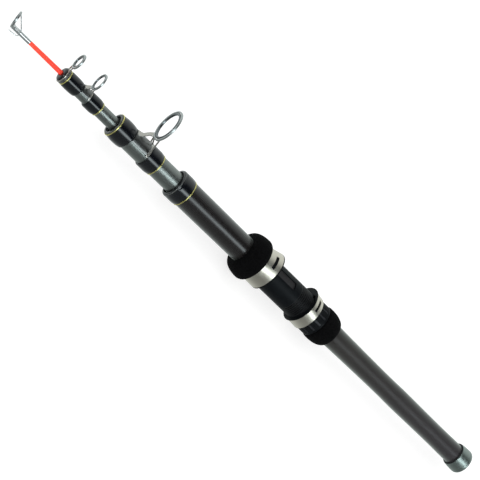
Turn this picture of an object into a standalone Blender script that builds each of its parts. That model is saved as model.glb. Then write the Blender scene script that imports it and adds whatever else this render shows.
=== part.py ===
"""A telescopic boat rod, collapsed: butt section with screw-down reel seat and screw-on cap, two
hollow sections with line guides, and a solid red tip with its tip ring.

The rod lies along X. The origin is the centre of the butt cap's flat end, +X runs to the tip and
+Z is the side of the reel seat that takes the reel's foot. All sizes are in metres.
"""

import math

import bmesh
import bpy
from mathutils import Matrix, Vector

# General fits and fineness
CLEAR = 0.0003
ROUND = 32
SMALL_ROUND = 20
SHARP_ANGLE = math.radians(35)

# Butt cap and its threaded ring
CAP_LENGTH = 0.0130
CAP_RADIUS = 0.0115
CAP_FRONT_RADIUS = 0.0109
CAP_END_ROUNDING = 0.0018
CAP_FLOOR = 0.0022
CAP_WALL = 0.0012
PAD_THICKNESS = 0.0020
CAP_THREAD_LENGTH = 0.0085
CAP_THREAD_WALL = 0.0006
SEAL_WIDTH = 0.0009
SEAL_WALL = 0.0009

# Handle tube behind the rear grip: outer radius at distances along its bare length
HANDLE_LENGTH = 0.1682
HANDLE_END_RADIUS = 0.0093
HANDLE_WAIST_RADIUS = 0.0091
HANDLE_SWELL_RADIUS = 0.00946
HANDLE_DIP_RADIUS = 0.00925
HANDLE_FRONT_RADIUS = 0.01005
HANDLE_WALL = 0.0012
SPIGOT_LENGTH = 0.0160
SPIGOT_START = 0.0032

# Rear grip
REAR_GRIP_LENGTH = 0.0174
REAR_GRIP_RADIUS = 0.0157
REAR_GRIP_NOSE = 0.0022
REAR_GRIP_TAIL = 0.0130

# Reel seat
LOCK_NUT_LENGTH = 0.0097
LOCK_NUT_RADIUS = 0.0149
LOCK_NUT_LOBES = 14
LOBE_GROOVE_WIDTH = 0.0022
LOBE_GROOVE_DEPTH = 0.0006
LOBE_FLANGE = 0.0015
MOVING_HOOD_LENGTH = 0.0106
MOVING_HOOD_RADIUS = 0.0159
MOVING_MOUTH_RADIUS = 0.0163
MOVING_MOUTH_RISE = 0.0015
MOVING_MOUTH_RAKE = 0.09
MOVING_LIP_FLARE = 0.0010
MOVING_HOOD_TRAVEL = 0.0180
SEAT_OPENING = 0.0447
FIXED_HOOD_LENGTH = 0.0114
FIXED_HOOD_RADIUS = 0.0164
FIXED_HOOD_RISE = 0.0004
FIXED_MOUTH_RADIUS = 0.0179
FIXED_MOUTH_RISE = 0.0026
HOOD_WALL = 0.0008
HOOD_LIP = 0.0007
HOOD_SLOT_WIDTH = 0.0019
HOOD_SLOT_HALF_ANGLE = math.radians(21)
HOOD_SLOT_FROM_MOUTH = 0.0052
POCKET_WIDTH = 0.0150
POCKET_BACK_WALL = 0.0026
SEAT_RADIUS = 0.0134
SEAT_THREAD_LENGTH = 0.0336
SEAT_THREAD_PITCH = 0.0018
SEAT_THREAD_DEPTH = 0.0005
CHANNEL_WIDTH = 0.0066
CHANNEL_DEPTH = 0.0015
CHANNEL_REAR_GAP = 0.0201
KEYWAY_WIDTH = 0.0030
KEYWAY_DEPTH = 0.0010
KEYWAY_LENGTH = 0.0460

# Fore grip
FORE_GRIP_LENGTH = 0.0168
FORE_GRIP_RADIUS = 0.0200
FORE_GRIP_FACE_RADIUS = 0.0150
FORE_GRIP_BACK_RADIUS = 0.0170
FORE_GRIP_NOSE = 0.0125
FORE_GRIP_TAIL = 0.0043

# Butt section
BUTT_EXPOSED = 0.0698
BUTT_REAR_RADIUS = 0.01135
BUTT_FRONT_RADIUS = 0.01178
BUTT_WALL = 0.0011
BUTT_COLLAR_LENGTH = 0.0134
BUTT_COLLAR_WALL = 0.00067
BUTT_LIP = 0.0011

# Section 3
SECTION_3_EXPOSED = 0.0209
SECTION_3_FRONT_RADIUS = 0.00915
SECTION_3_REAR_RADIUS = 0.0093
SECTION_3_WALL = 0.0010
FOOT_WRAP_3_LENGTH = 0.0139
FOOT_WRAP_3_WALL = 0.00095
GUIDE_3_BAY = 0.0187
COLLAR_3_LENGTH = 0.0150
COLLAR_3_WALL = 0.00145
COLLAR_3_MOUTH = 0.0019

# Section 2
SECTION_2_EXPOSED = 0.0169
SECTION_2_FRONT_RADIUS = 0.0055
SECTION_2_REAR_RADIUS = 0.0066
SECTION_2_WALL = 0.0009
FOOT_WRAP_2_LENGTH = 0.0133
FOOT_WRAP_2_WALL = 0.0010
GUIDE_2_BAY = 0.0092
COLLAR_2_LENGTH = 0.0139
COLLAR_2_WALL = 0.00120
GUIDE_1_SETBACK = 0.0035
NOSE_LENGTH = 0.0025
NOSE_FRONT_RADIUS = 0.0034
NOSE_RADIUS = 0.0062

# Tip section
TIP_EXPOSED = 0.0346
TIP_FRONT_RADIUS = 0.00172
TIP_NOSE_RADIUS = 0.00200
TIP_REAR_RADIUS = 0.0023
FERRULE_LENGTH = 0.0190
FERRULE_WALL = 0.0004
FERRULE_BLIND_END = 0.0030

# Rear stops of the sliding sections
STOP_LENGTH = 0.0160
STOP_TAPER = 0.0100

# Gold bands that close each wrap
BAND_WIDTH = 0.0009
BAND_WALL = 0.0004

# Guides: turned from the reel side, seen from the butt
GUIDE_TURN = math.radians(24)
GUIDE_3_HEIGHT = 0.0326
GUIDE_3_HOLE = 0.0109
GUIDE_3_INSERT = 0.0011
GUIDE_3_RIM = 0.0014
GUIDE_3_BACKSET = 0.0080
GUIDE_3_HOOP_WIRE = 0.0006
GUIDE_3_HOOP_WIDTH = 0.0026
GUIDE_3_STRAP = 0.0048
GUIDE_2_HEIGHT = 0.0177
GUIDE_2_BACKSET = 0.0046
GUIDE_2_HOLE = 0.00545
GUIDE_2_INSERT = 0.0006
GUIDE_2_RIM = 0.0009
GUIDE_2_HOOP_WIRE = 0.0005
GUIDE_2_HOOP_WIDTH = 0.0016
GUIDE_2_STRAP = 0.0044
GUIDE_1_HEIGHT = 0.0179
GUIDE_1_HOLE = 0.0040
GUIDE_1_INSERT = 0.0007
GUIDE_1_RIM = 0.0013
GUIDE_1_LEAN_FORWARD = 0.0012
GUIDE_1_HOOP_WIRE = 0.0006
RIM_WIDTH = 0.0016
STRAP_THICKNESS = 0.0009
LEG_WIRE = 0.0005
FOOT_PLATE_WALL = 0.0007
FOOT_PLATE_HALF_ANGLE = math.radians(54)
HOOP_HALF_ANGLE = math.radians(66)
TIP_TURN = math.radians(-4)
TIP_RING_HEIGHT = 0.0100
TIP_RING_HOLE = 0.0042
TIP_RING_INSERT = 0.0007
TIP_RING_RIM = 0.0013
TIP_RING_AHEAD = 0.0037
TIP_RING_LEAN = math.radians(16)
TIP_BRACE_FOOT = 0.0077
TIP_BRACE_ANGLE = math.radians(62)
TIP_BRACE_WIRE = 0.0004
KEEPER_ANGLE = math.radians(50)
KEEPER_DROP = 0.0033
KEEPER_LENGTH = 0.0074
KEEPER_WIRE = 0.0003

# Stations along the rod, from the butt's flat end
X_PAD = CAP_FLOOR + CLEAR
X_TUBE_END = X_PAD + PAD_THICKNESS + CLEAR
X_CAP_FRONT = CAP_LENGTH
X_REAR_GRIP = X_CAP_FRONT + HANDLE_LENGTH
X_BLANK_BACK = X_REAR_GRIP + SPIGOT_START
X_LOCK_NUT = X_REAR_GRIP + REAR_GRIP_LENGTH + CLEAR
X_MOVING_HOOD = X_LOCK_NUT + LOCK_NUT_LENGTH + CLEAR
X_MOVING_MOUTH = X_MOVING_HOOD + MOVING_HOOD_LENGTH
X_FIXED_MOUTH = X_MOVING_MOUTH + SEAT_OPENING
X_FIXED_HOOD_FRONT = X_FIXED_MOUTH + FIXED_HOOD_LENGTH
X_FORE_GRIP = X_FIXED_HOOD_FRONT + CLEAR
X_FORE_GRIP_FRONT = X_FORE_GRIP + FORE_GRIP_LENGTH
X_BUTT_BAND = X_FORE_GRIP_FRONT + BUTT_EXPOSED
X_BUTT_MOUTH = X_BUTT_BAND + BUTT_COLLAR_LENGTH
X_FOOT_BAND_3 = X_BUTT_MOUTH + SECTION_3_EXPOSED
X_HOOP_3 = X_FOOT_BAND_3 + FOOT_WRAP_3_LENGTH
X_COLLAR_3 = X_HOOP_3 + GUIDE_3_BAY
X_MOUTH_BAND_3 = X_COLLAR_3 + COLLAR_3_LENGTH
X_MOUTH_3 = X_MOUTH_BAND_3 + COLLAR_3_MOUTH
X_FOOT_BAND_2 = X_MOUTH_3 + SECTION_2_EXPOSED
X_HOOP_2 = X_FOOT_BAND_2 + FOOT_WRAP_2_LENGTH
X_COLLAR_2 = X_HOOP_2 + GUIDE_2_BAY
X_MOUTH_BAND_2 = X_COLLAR_2 + COLLAR_2_LENGTH
X_HOOP_1 = X_MOUTH_BAND_2 + GUIDE_1_SETBACK
X_NOSE_BACK = X_HOOP_1 + 1.5 * GUIDE_1_HOOP_WIRE
X_SECTION_2_FRONT = X_NOSE_BACK - CLEAR
X_NOSE = X_HOOP_1 + NOSE_LENGTH
X_FERRULE = X_NOSE + TIP_EXPOSED
X_FERRULE_FRONT = X_FERRULE + FERRULE_LENGTH

# Bores and stops that follow from their neighbours
BUTT_BORE = BUTT_REAR_RADIUS - BUTT_WALL
HANDLE_BORE = HANDLE_WAIST_RADIUS - HANDLE_WALL
SECTION_3_STOP = BUTT_BORE - CLEAR
SECTION_3_BORE = SECTION_3_FRONT_RADIUS - SECTION_3_WALL
BUTT_THROAT = SECTION_3_REAR_RADIUS + CLEAR
SECTION_2_STOP = HANDLE_BORE - CLEAR
SECTION_2_BORE = SECTION_2_FRONT_RADIUS - SECTION_2_WALL
SECTION_3_THROAT = SECTION_2_REAR_RADIUS + CLEAR
TIP_STOP = SECTION_2_BORE - CLEAR
SECTION_2_THROAT = TIP_REAR_RADIUS + CLEAR
SEAT_BORE = BUTT_REAR_RADIUS + CLEAR
X_SECTION_3_BACK = X_BLANK_BACK + SPIGOT_LENGTH + CLEAR
X_INNER_BACK = X_TUBE_END

# Colours, roughness and metallic of each finish
FINISHES = {
    "carbon_grey": ((0.125, 0.150, 0.140), 0.32, 0.35),
    "carbon_dark": ((0.028, 0.026, 0.028), 0.28, 0.30),
    "handle_brown": ((0.045, 0.040, 0.040), 0.38, 0.30),
    "tip_red": ((1.0, 0.095, 0.045), 0.35, 0.0),
    "wrap_black": ((0.012, 0.015, 0.022), 0.10, 0.0),
    "gold": ((0.62, 0.58, 0.16), 0.35, 0.6),
    "foam": ((0.004, 0.004, 0.005), 0.95, 0.0),
    "seat_black": ((0.010, 0.012, 0.015), 0.38, 0.0),
    "steel": ((0.62, 0.61, 0.55), 0.12, 1.0),
    "guide_steel": ((0.36, 0.38, 0.38), 0.22, 1.0),
    "insert_grey": ((0.16, 0.18, 0.19), 0.12, 0.6),
    "cap_metal": ((0.26, 0.31, 0.29), 0.30, 0.8),
    "rubber": ((0.012, 0.012, 0.012), 0.85, 0.0),
}


def clear_scene():
    for old in list(bpy.data.objects):
        bpy.data.objects.remove(old, do_unlink=True)


def new_collection(name, hidden=False):
    made = bpy.data.collections.new(name)
    bpy.context.scene.collection.children.link(made)
    made.hide_render = hidden
    return made


clear_scene()
ROD = new_collection("boat_rod")
HELPERS = new_collection("cutters", hidden=True)


def finish(name):
    found = bpy.data.materials.get(name)
    if found:
        return found
    colour, roughness, metallic = FINISHES[name]
    made = bpy.data.materials.new(name)
    made.use_nodes = True
    shader = made.node_tree.nodes["Principled BSDF"]
    shader.inputs["Base Color"].default_value = (*colour, 1.0)
    shader.inputs["Roughness"].default_value = roughness
    shader.inputs["Metallic"].default_value = metallic
    return made


def axis_empty(name, x, parent=None, turn=0.0):
    """An empty on the rod's axis: what slides or turns is parented to it."""
    made = bpy.data.objects.new(name, None)
    made.empty_display_size = 0.01
    made.rotation_euler = (turn, 0.0, 0.0)
    ROD.objects.link(made)
    hang(made, x, parent)
    return made


def hang(obj, x, parent):
    """Puts the object at a station x of the rod, under the parent."""
    if parent is None:
        obj.location = (x, 0.0, 0.0)
        return
    obj.parent = parent
    obj.location = (x - station(parent), 0.0, 0.0)


def station(empty):
    """An empty's own place along the rod."""
    x = 0.0
    while empty is not None:
        x += empty.location.x
        empty = empty.parent
    return x


def smooth(mesh):
    mesh.shade_smooth()
    mesh.set_sharp_from_angle(angle=SHARP_ANGLE)


def evaluated_mesh(obj):
    graph = bpy.context.evaluated_depsgraph_get()
    mesh = bpy.data.meshes.new_from_object(obj.evaluated_get(graph), depsgraph=graph)
    mesh.transform(obj.matrix_world)
    return mesh


def weld(mesh):
    """Joins a curve's loose caps to its sides."""
    edit = bmesh.new()
    edit.from_mesh(mesh)
    bmesh.ops.remove_doubles(edit, verts=edit.verts, dist=0.000001)
    bmesh.ops.recalc_face_normals(edit, faces=edit.faces)
    edit.to_mesh(mesh)
    edit.free()


def turned_mesh(name, profile, steps=ROUND, closed=True):
    """A profile of (radius, x) turned about the rod's axis. It runs tip to butt on its outer side."""
    mesh = bpy.data.meshes.new(name + "_profile")
    points = [(radius, 0.0, x) for radius, x in profile]
    edges = [(i, i + 1) for i in range(len(points) - 1)]
    if closed:
        edges.append((len(points) - 1, 0))
    mesh.from_pydata(points, edges, [])
    obj = bpy.data.objects.new(name + "_profile", mesh)
    ROD.objects.link(obj)
    obj.rotation_euler = (0.0, math.pi / 2, 0.0)
    screw = obj.modifiers.new("turn", "SCREW")
    screw.axis = "Z"
    screw.angle = 2 * math.pi
    screw.steps = steps
    screw.render_steps = steps
    screw.use_merge_vertices = True
    screw.merge_threshold = 0.000001
    bpy.context.view_layer.update()
    made = evaluated_mesh(obj)
    bpy.data.objects.remove(obj, do_unlink=True)
    bpy.data.meshes.remove(mesh)
    made.name = name
    weld(made)
    return made


def new_part(name, mesh, x, parent, material):
    """One sub-part: its mesh starts at its own station x."""
    smooth(mesh)
    mesh.materials.clear()
    mesh.materials.append(finish(material))
    obj = bpy.data.objects.new(name, mesh)
    ROD.objects.link(obj)
    hang(obj, x, parent)
    return obj


def turned(name, profile, x, parent, material, steps=ROUND, closed=True):
    return new_part(name, turned_mesh(name, profile, steps, closed), x, parent, material)


def ring(name, inner, outer, start, end, x, parent, material, steps=ROUND):
    """A plain ring from start to end along the rod, measured from x."""
    profile = [(outer, end), (outer, start), (inner, start), (inner, end)]
    return turned(name, profile, x, parent, material, steps)


def helper(name, mesh, parent, x):
    """A solid that cuts or joins another and isn't a part itself."""
    obj = bpy.data.objects.new(name, mesh)
    HELPERS.objects.link(obj)
    obj.hide_render = True
    obj.display_type = "WIRE"
    hang(obj, x, parent)
    return obj


def combine(obj, other, operation):
    change = obj.modifiers.new(operation.lower(), "BOOLEAN")
    change.operation = operation
    change.solver = "EXACT"
    change.object = other
    return change


def box_mesh(name, low, high):
    made = bmesh.new()
    bmesh.ops.create_cube(made, size=1.0)
    size = Vector(high) - Vector(low)
    middle = (Vector(high) + Vector(low)) / 2
    bmesh.ops.scale(made, vec=size, verts=made.verts)
    bmesh.ops.translate(made, vec=middle, verts=made.verts)
    mesh = bpy.data.meshes.new(name)
    made.to_mesh(mesh)
    made.free()
    return mesh


def offset_cone_mesh(name, start, end, segments=ROUND + 8):
    """A solid between two circles round X, each given as (x, radius, rise of its centre).

    A fourth value leans that end back as it goes up, by so much a metre of height.
    """
    made = bmesh.new()
    length = end[0] - start[0]
    bmesh.ops.create_cone(
        made,
        cap_ends=True,
        segments=segments,
        radius1=start[1],
        radius2=end[1],
        depth=length,
    )
    bmesh.ops.rotate(made, cent=(0, 0, 0), matrix=Matrix.Rotation(math.pi / 2, 3, "Y"), verts=made.verts)
    lean_start = start[3] if len(start) > 3 else 0.0
    lean_end = end[3] if len(end) > 3 else 0.0
    for vertex in made.verts:
        at_end = vertex.co.x > 0
        vertex.co.z += end[2] if at_end else start[2]
        vertex.co.x += (start[0] + end[0]) / 2
        vertex.co.x -= vertex.co.z * (lean_end if at_end else lean_start)
    mesh = bpy.data.meshes.new(name)
    made.to_mesh(mesh)
    made.free()
    return mesh


def curve_mesh(name, points, depth, sides=1, closed=False):
    """A round wire through the points, as a closed mesh."""
    data = bpy.data.curves.new(name, "CURVE")
    data.dimensions = "3D"
    data.bevel_depth = depth
    data.bevel_resolution = sides
    data.use_fill_caps = True
    spline = data.splines.new("POLY")
    spline.points.add(len(points) - 1)
    for point, place in zip(spline.points, points):
        point.co = (*place, 1.0)
    spline.use_cyclic_u = closed
    return converted(name, data)


def ribbon_mesh(name, line, thickness, width):
    """A flat strap whose centre line is given as (x, z), as wide as width along Y."""
    left, right = [], []
    for i, place in enumerate(line):
        before = Vector(line[max(i - 1, 0)])
        after = Vector(line[min(i + 1, len(line) - 1)])
        along = (after - before).normalized()
        side = Vector((-along.y, along.x)) * thickness / 2
        left.append(Vector(place) + side)
        right.append(Vector(place) - side)
    data = bpy.data.curves.new(name, "CURVE")
    data.dimensions = "2D"
    data.fill_mode = "BOTH"
    data.extrude = width / 2
    outline = left + right[::-1]
    spline = data.splines.new("POLY")
    spline.points.add(len(outline) - 1)
    for point, place in zip(spline.points, outline):
        point.co = (place.x, place.y, 0.0, 1.0)
    spline.use_cyclic_u = True
    return converted(name, data, Matrix.Rotation(math.pi / 2, 4, "X"))


def converted(name, data, turn=None):
    """A curve made a mesh, with its caps welded."""
    obj = bpy.data.objects.new(name, data)
    ROD.objects.link(obj)
    if turn is not None:
        obj.matrix_world = turn
    bpy.context.view_layer.update()
    mesh = evaluated_mesh(obj)
    bpy.data.objects.remove(obj, do_unlink=True)
    bpy.data.curves.remove(data)
    mesh.name = name
    weld(mesh)
    return mesh


def quarter(start, end, count=5, bulge_first=True):
    """Points of a quarter ellipse between two (radius, x) points, both included."""
    points = []
    for i in range(count + 1):
        angle = math.pi / 2 * i / count
        if bulge_first:
            radius = start[0] + (end[0] - start[0]) * math.sin(angle)
            x = start[1] + (end[1] - start[1]) * (1 - math.cos(angle))
        else:
            radius = start[0] + (end[0] - start[0]) * (1 - math.cos(angle))
            x = start[1] + (end[1] - start[1]) * math.sin(angle)
        points.append((radius, x))
    return points


BUTT_AXIS = axis_empty("butt_axis", 0.0)
SECTION_3_AXIS = axis_empty("section_3_axis", X_SECTION_3_BACK, BUTT_AXIS)
SECTION_2_AXIS = axis_empty("section_2_axis", X_INNER_BACK, SECTION_3_AXIS)
TIP_AXIS = axis_empty("tip_axis", X_INNER_BACK, SECTION_2_AXIS)
HOOD_AXIS = axis_empty("moving_hood_axis", X_MOVING_HOOD, BUTT_AXIS)
NUT_AXIS = axis_empty("lock_nut_axis", X_LOCK_NUT, HOOD_AXIS)
PAD_AXIS = axis_empty("cap_pad_axis", X_PAD, BUTT_AXIS)
CAP_AXIS = axis_empty("butt_cap_axis", 0.0, PAD_AXIS)


def butt_end():
    inner = HANDLE_END_RADIUS + CLEAR + CAP_THREAD_WALL + CLEAR
    front = CAP_LENGTH
    profile = [(CAP_FRONT_RADIUS, front)]
    profile.append((CAP_FRONT_RADIUS + 0.7 * (CAP_RADIUS - CAP_FRONT_RADIUS), front * 0.62))
    profile += quarter((CAP_RADIUS, CAP_END_ROUNDING * 1.6), (CAP_RADIUS - CAP_END_ROUNDING, 0.0), 5, False)
    profile += [(0.0, 0.0), (0.0, CAP_FLOOR), (inner, CAP_FLOOR), (inner, front)]
    turned("butt_cap", profile, 0.0, CAP_AXIS, "cap_metal", closed=True)
    pad_radius = inner - CLEAR
    pad = [(0.0, PAD_THICKNESS), (pad_radius, PAD_THICKNESS), (pad_radius, 0.0), (0.0, 0.0)]
    turned("cap_pad", pad, X_PAD, PAD_AXIS, "rubber", closed=False)
    thread_inner = HANDLE_END_RADIUS + CLEAR
    ring(
        "butt_thread_ring",
        thread_inner,
        thread_inner + CAP_THREAD_WALL,
        0.0,
        CAP_THREAD_LENGTH,
        X_TUBE_END,
        BUTT_AXIS,
        "cap_metal",
    )
    seal = [
        (thread_inner + SEAL_WALL * 0.6, SEAL_WIDTH),
        (thread_inner + SEAL_WALL, SEAL_WIDTH * 0.6),
        (thread_inner + SEAL_WALL, 0.0),
        (thread_inner, 0.0),
        (thread_inner, SEAL_WIDTH),
    ]
    turned("cap_seal", seal, X_CAP_FRONT + CLEAR, BUTT_AXIS, "rubber")


def handle_tube():
    length = X_REAR_GRIP - X_TUBE_END
    spigot = BUTT_BORE - CLEAR
    front = X_SECTION_3_BACK - CLEAR - X_TUBE_END
    shoulder = X_BLANK_BACK - CLEAR - X_TUBE_END
    outer = [
        (spigot, front),
        (spigot, shoulder),
        (HANDLE_FRONT_RADIUS, shoulder),
        (HANDLE_FRONT_RADIUS, length),
        ((HANDLE_FRONT_RADIUS + HANDLE_DIP_RADIUS) / 2, length * 0.86),
        (HANDLE_DIP_RADIUS, length * 0.66),
        (HANDLE_DIP_RADIUS, length * 0.57),
        (HANDLE_SWELL_RADIUS, length * 0.49),
        ((HANDLE_SWELL_RADIUS + HANDLE_WAIST_RADIUS) / 2, length * 0.36),
        (HANDLE_WAIST_RADIUS, length * 0.20),
        (HANDLE_END_RADIUS, length * 0.09),
        (HANDLE_END_RADIUS, 0.0),
    ]
    inner = [(HANDLE_BORE, 0.0), (HANDLE_BORE, front)]
    turned("handle_tube", outer + inner, X_TUBE_END, BUTT_AXIS, "handle_brown")


def butt_blank():
    front = X_BUTT_MOUTH - BUTT_LIP - CLEAR - X_BLANK_BACK
    band = X_BUTT_BAND - X_BLANK_BACK
    grip = X_FORE_GRIP_FRONT - X_BLANK_BACK
    throat = band - 0.004
    profile = [
        (BUTT_FRONT_RADIUS, front),
        (BUTT_FRONT_RADIUS, band),
        (BUTT_REAR_RADIUS, grip),
        (BUTT_REAR_RADIUS, 0.0),
        (BUTT_BORE, 0.0),
        (BUTT_BORE, throat - 0.003),
        (BUTT_THROAT, throat),
        (BUTT_THROAT, front - 0.004),
        (BUTT_FRONT_RADIUS - BUTT_WALL, front),
    ]
    turned("butt_blank", profile, X_BLANK_BACK, BUTT_AXIS, "carbon_dark")


def lipped_collar(name, blank, wall, band_x, mouth_x, lip, opening, parent):
    """The glossy whipping round a section's mouth, closed over the blank's end by a lip."""
    outer = blank + CLEAR + wall
    length = mouth_x - band_x
    profile = [(opening, length)]
    profile += quarter((opening + 0.0004, length), (outer, length - 1.6 * lip), 4, True)
    profile += [
        (outer + 0.0001, length * 0.5),
        (outer, length * 0.25),
        (blank + CLEAR + BAND_WALL, BAND_WIDTH + CLEAR),
        (blank + CLEAR, BAND_WIDTH + CLEAR),
        (blank + CLEAR, length - lip),
        (opening, length - lip),
    ]
    turned(name, profile, band_x, parent, "wrap_black")


def gold_band(name, blank, x, parent, steps=ROUND):
    inner = blank + CLEAR
    ring(name, inner, inner + BAND_WALL, 0.0, BAND_WIDTH, x, parent, "gold", steps)


def butt_mouth():
    opening = BUTT_FRONT_RADIUS - BUTT_WALL
    lipped_collar(
        "butt_mouth_wrap",
        BUTT_FRONT_RADIUS,
        BUTT_COLLAR_WALL,
        X_BUTT_BAND,
        X_BUTT_MOUTH,
        BUTT_LIP,
        opening,
        BUTT_AXIS,
    )
    gold_band("butt_mouth_band", BUTT_FRONT_RADIUS, X_BUTT_BAND, BUTT_AXIS)


def grips():
    fore_bore = BUTT_REAR_RADIUS + (BUTT_FRONT_RADIUS - BUTT_REAR_RADIUS) * 0.05 + CLEAR
    length = FORE_GRIP_LENGTH
    profile = quarter((FORE_GRIP_FACE_RADIUS, length), (FORE_GRIP_RADIUS, length - FORE_GRIP_NOSE), 5, True)
    profile += quarter((FORE_GRIP_RADIUS, FORE_GRIP_TAIL), (FORE_GRIP_BACK_RADIUS, 0.0), 5, False)
    profile += [(fore_bore, 0.0), (fore_bore, length)]
    turned("fore_grip", profile, X_FORE_GRIP, BUTT_AXIS, "foam")
    rear_bore = BUTT_REAR_RADIUS + CLEAR
    tail_bore = HANDLE_FRONT_RADIUS + CLEAR
    step = SPIGOT_START - 2 * CLEAR
    length = REAR_GRIP_LENGTH
    shoulder = REAR_GRIP_RADIUS - REAR_GRIP_NOSE
    profile = quarter((shoulder, length), (REAR_GRIP_RADIUS, length - REAR_GRIP_NOSE), 2)
    profile += quarter((REAR_GRIP_RADIUS, REAR_GRIP_TAIL), (tail_bore + 0.0006, 0.0), 6, False)
    profile += [(tail_bore, 0.0), (tail_bore, step), (rear_bore, step), (rear_bore, length)]
    turned("rear_grip", profile, X_REAR_GRIP, BUTT_AXIS, "foam")


def seat_body():
    back = X_LOCK_NUT
    front = X_FIXED_HOOD_FRONT - back
    profile = [(SEAT_RADIUS, front), (SEAT_RADIUS, SEAT_THREAD_LENGTH)]
    turns = int(SEAT_THREAD_LENGTH / SEAT_THREAD_PITCH)
    for i in range(turns):
        x = SEAT_THREAD_LENGTH - i * SEAT_THREAD_PITCH
        profile.append((SEAT_RADIUS - SEAT_THREAD_DEPTH, x - 0.5 * SEAT_THREAD_PITCH))
        profile.append((SEAT_RADIUS, x - SEAT_THREAD_PITCH))
    profile += [(SEAT_RADIUS - SEAT_THREAD_DEPTH, 0.0), (SEAT_BORE, 0.0), (SEAT_BORE, front)]
    body = turned("seat_body", profile, back, BUTT_AXIS, "seat_black")
    floor = SEAT_RADIUS - CHANNEL_DEPTH
    half = CHANNEL_WIDTH / 2
    channel_back = X_MOVING_MOUTH + CHANNEL_REAR_GAP
    channel_front = X_FIXED_HOOD_FRONT - POCKET_BACK_WALL - CLEAR
    high = SEAT_RADIUS + 0.002
    channel = box_mesh("channel_cut", (channel_back + half, -half, floor), (channel_front, half, high))
    combine(body, helper("channel_cut", channel, BUTT_AXIS, 0.0), "DIFFERENCE")
    end = offset_cone_mesh("channel_end_cut", (floor, half, 0.0), (high, half, 0.0), 16)
    end.transform(Matrix.Rotation(-math.pi / 2, 4, "Y"))
    combine(body, helper("channel_end_cut", end, BUTT_AXIS, channel_back + half), "DIFFERENCE")
    keyway = box_mesh(
        "keyway_cut",
        (back - 0.001, -KEYWAY_WIDTH / 2, -SEAT_RADIUS - 0.002),
        (back + KEYWAY_LENGTH, KEYWAY_WIDTH / 2, -SEAT_RADIUS + KEYWAY_DEPTH),
    )
    combine(body, helper("keyway_cut", keyway, BUTT_AXIS, 0.0), "DIFFERENCE")


def hood(name, back, mouth, mouth_sign, parent, x):
    """A steel hood between two offset circles, open at both ends, with its arc slot pressed in."""
    shell = offset_cone_mesh(name, back, mouth)
    obj = new_part(name, shell, x, parent, "steel")
    beyond = 0.001
    bore_ends = [bigger_circle(circle, -HOOD_WALL) for circle in (back, mouth)]
    bore = offset_cone_mesh(name + "_bore", *stretched(*bore_ends, beyond))
    combine(obj, helper(name + "_bore", bore, parent, x), "DIFFERENCE")
    slot = slot_mesh(name + "_slot", back, mouth, mouth_sign)
    combine(obj, helper(name + "_slot", slot, parent, x), "DIFFERENCE")
    return obj


def bigger_circle(circle, by):
    return (circle[0], circle[1] + by, *circle[2:])


def moved_circle(circle, by, wider=0.0):
    return (circle[0] + by, circle[1] + wider, *circle[2:])


def stretched(start, end, beyond):
    """Both circles moved out along their cone by a little, so that a cut runs past the faces."""
    length = end[0] - start[0]
    grow = [(end[i] - start[i]) * beyond / length for i in range(3)]
    first = tuple(start[i] - grow[i] for i in range(3))
    last = tuple(end[i] + grow[i] for i in range(3))
    return first + tuple(start[3:]), last + tuple(end[3:])


def slot_mesh(name, back, mouth, mouth_sign):
    """An arc-shaped cutter that goes through the hood's wall over its top."""
    x = (mouth[0] if mouth_sign > 0 else back[0]) - mouth_sign * HOOD_SLOT_FROM_MOUTH
    share = (x - back[0]) / (mouth[0] - back[0])
    radius = back[1] + share * (mouth[1] - back[1])
    rise = back[2] + share * (mouth[2] - back[2])
    inner = radius - HOOD_WALL - CLEAR / 2
    outer = radius + 0.001
    half = HOOD_SLOT_WIDTH / 2
    profile = [(outer, x + half), (outer, x - half), (inner, x - half), (inner, x + half)]
    mesh = turned_mesh(name, profile, 2 * ROUND)
    edit = bmesh.new()
    edit.from_mesh(mesh)
    for side in (-1, 1):
        normal = Vector((0.0, side * math.cos(HOOD_SLOT_HALF_ANGLE), -math.sin(HOOD_SLOT_HALF_ANGLE)))
        geometry = edit.verts[:] + edit.edges[:] + edit.faces[:]
        cut = bmesh.ops.bisect_plane(
            edit, geom=geometry, plane_co=(0, 0, 0), plane_no=normal, clear_outer=True
        )
        loop = [g for g in cut["geom_cut"] if isinstance(g, bmesh.types.BMEdge)]
        bmesh.ops.edgeloop_fill(edit, edges=loop)
    bmesh.ops.translate(edit, vec=(0.0, 0.0, rise), verts=edit.verts)
    bmesh.ops.recalc_face_normals(edit, faces=edit.faces)
    edit.to_mesh(mesh)
    edit.free()
    return mesh


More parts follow.
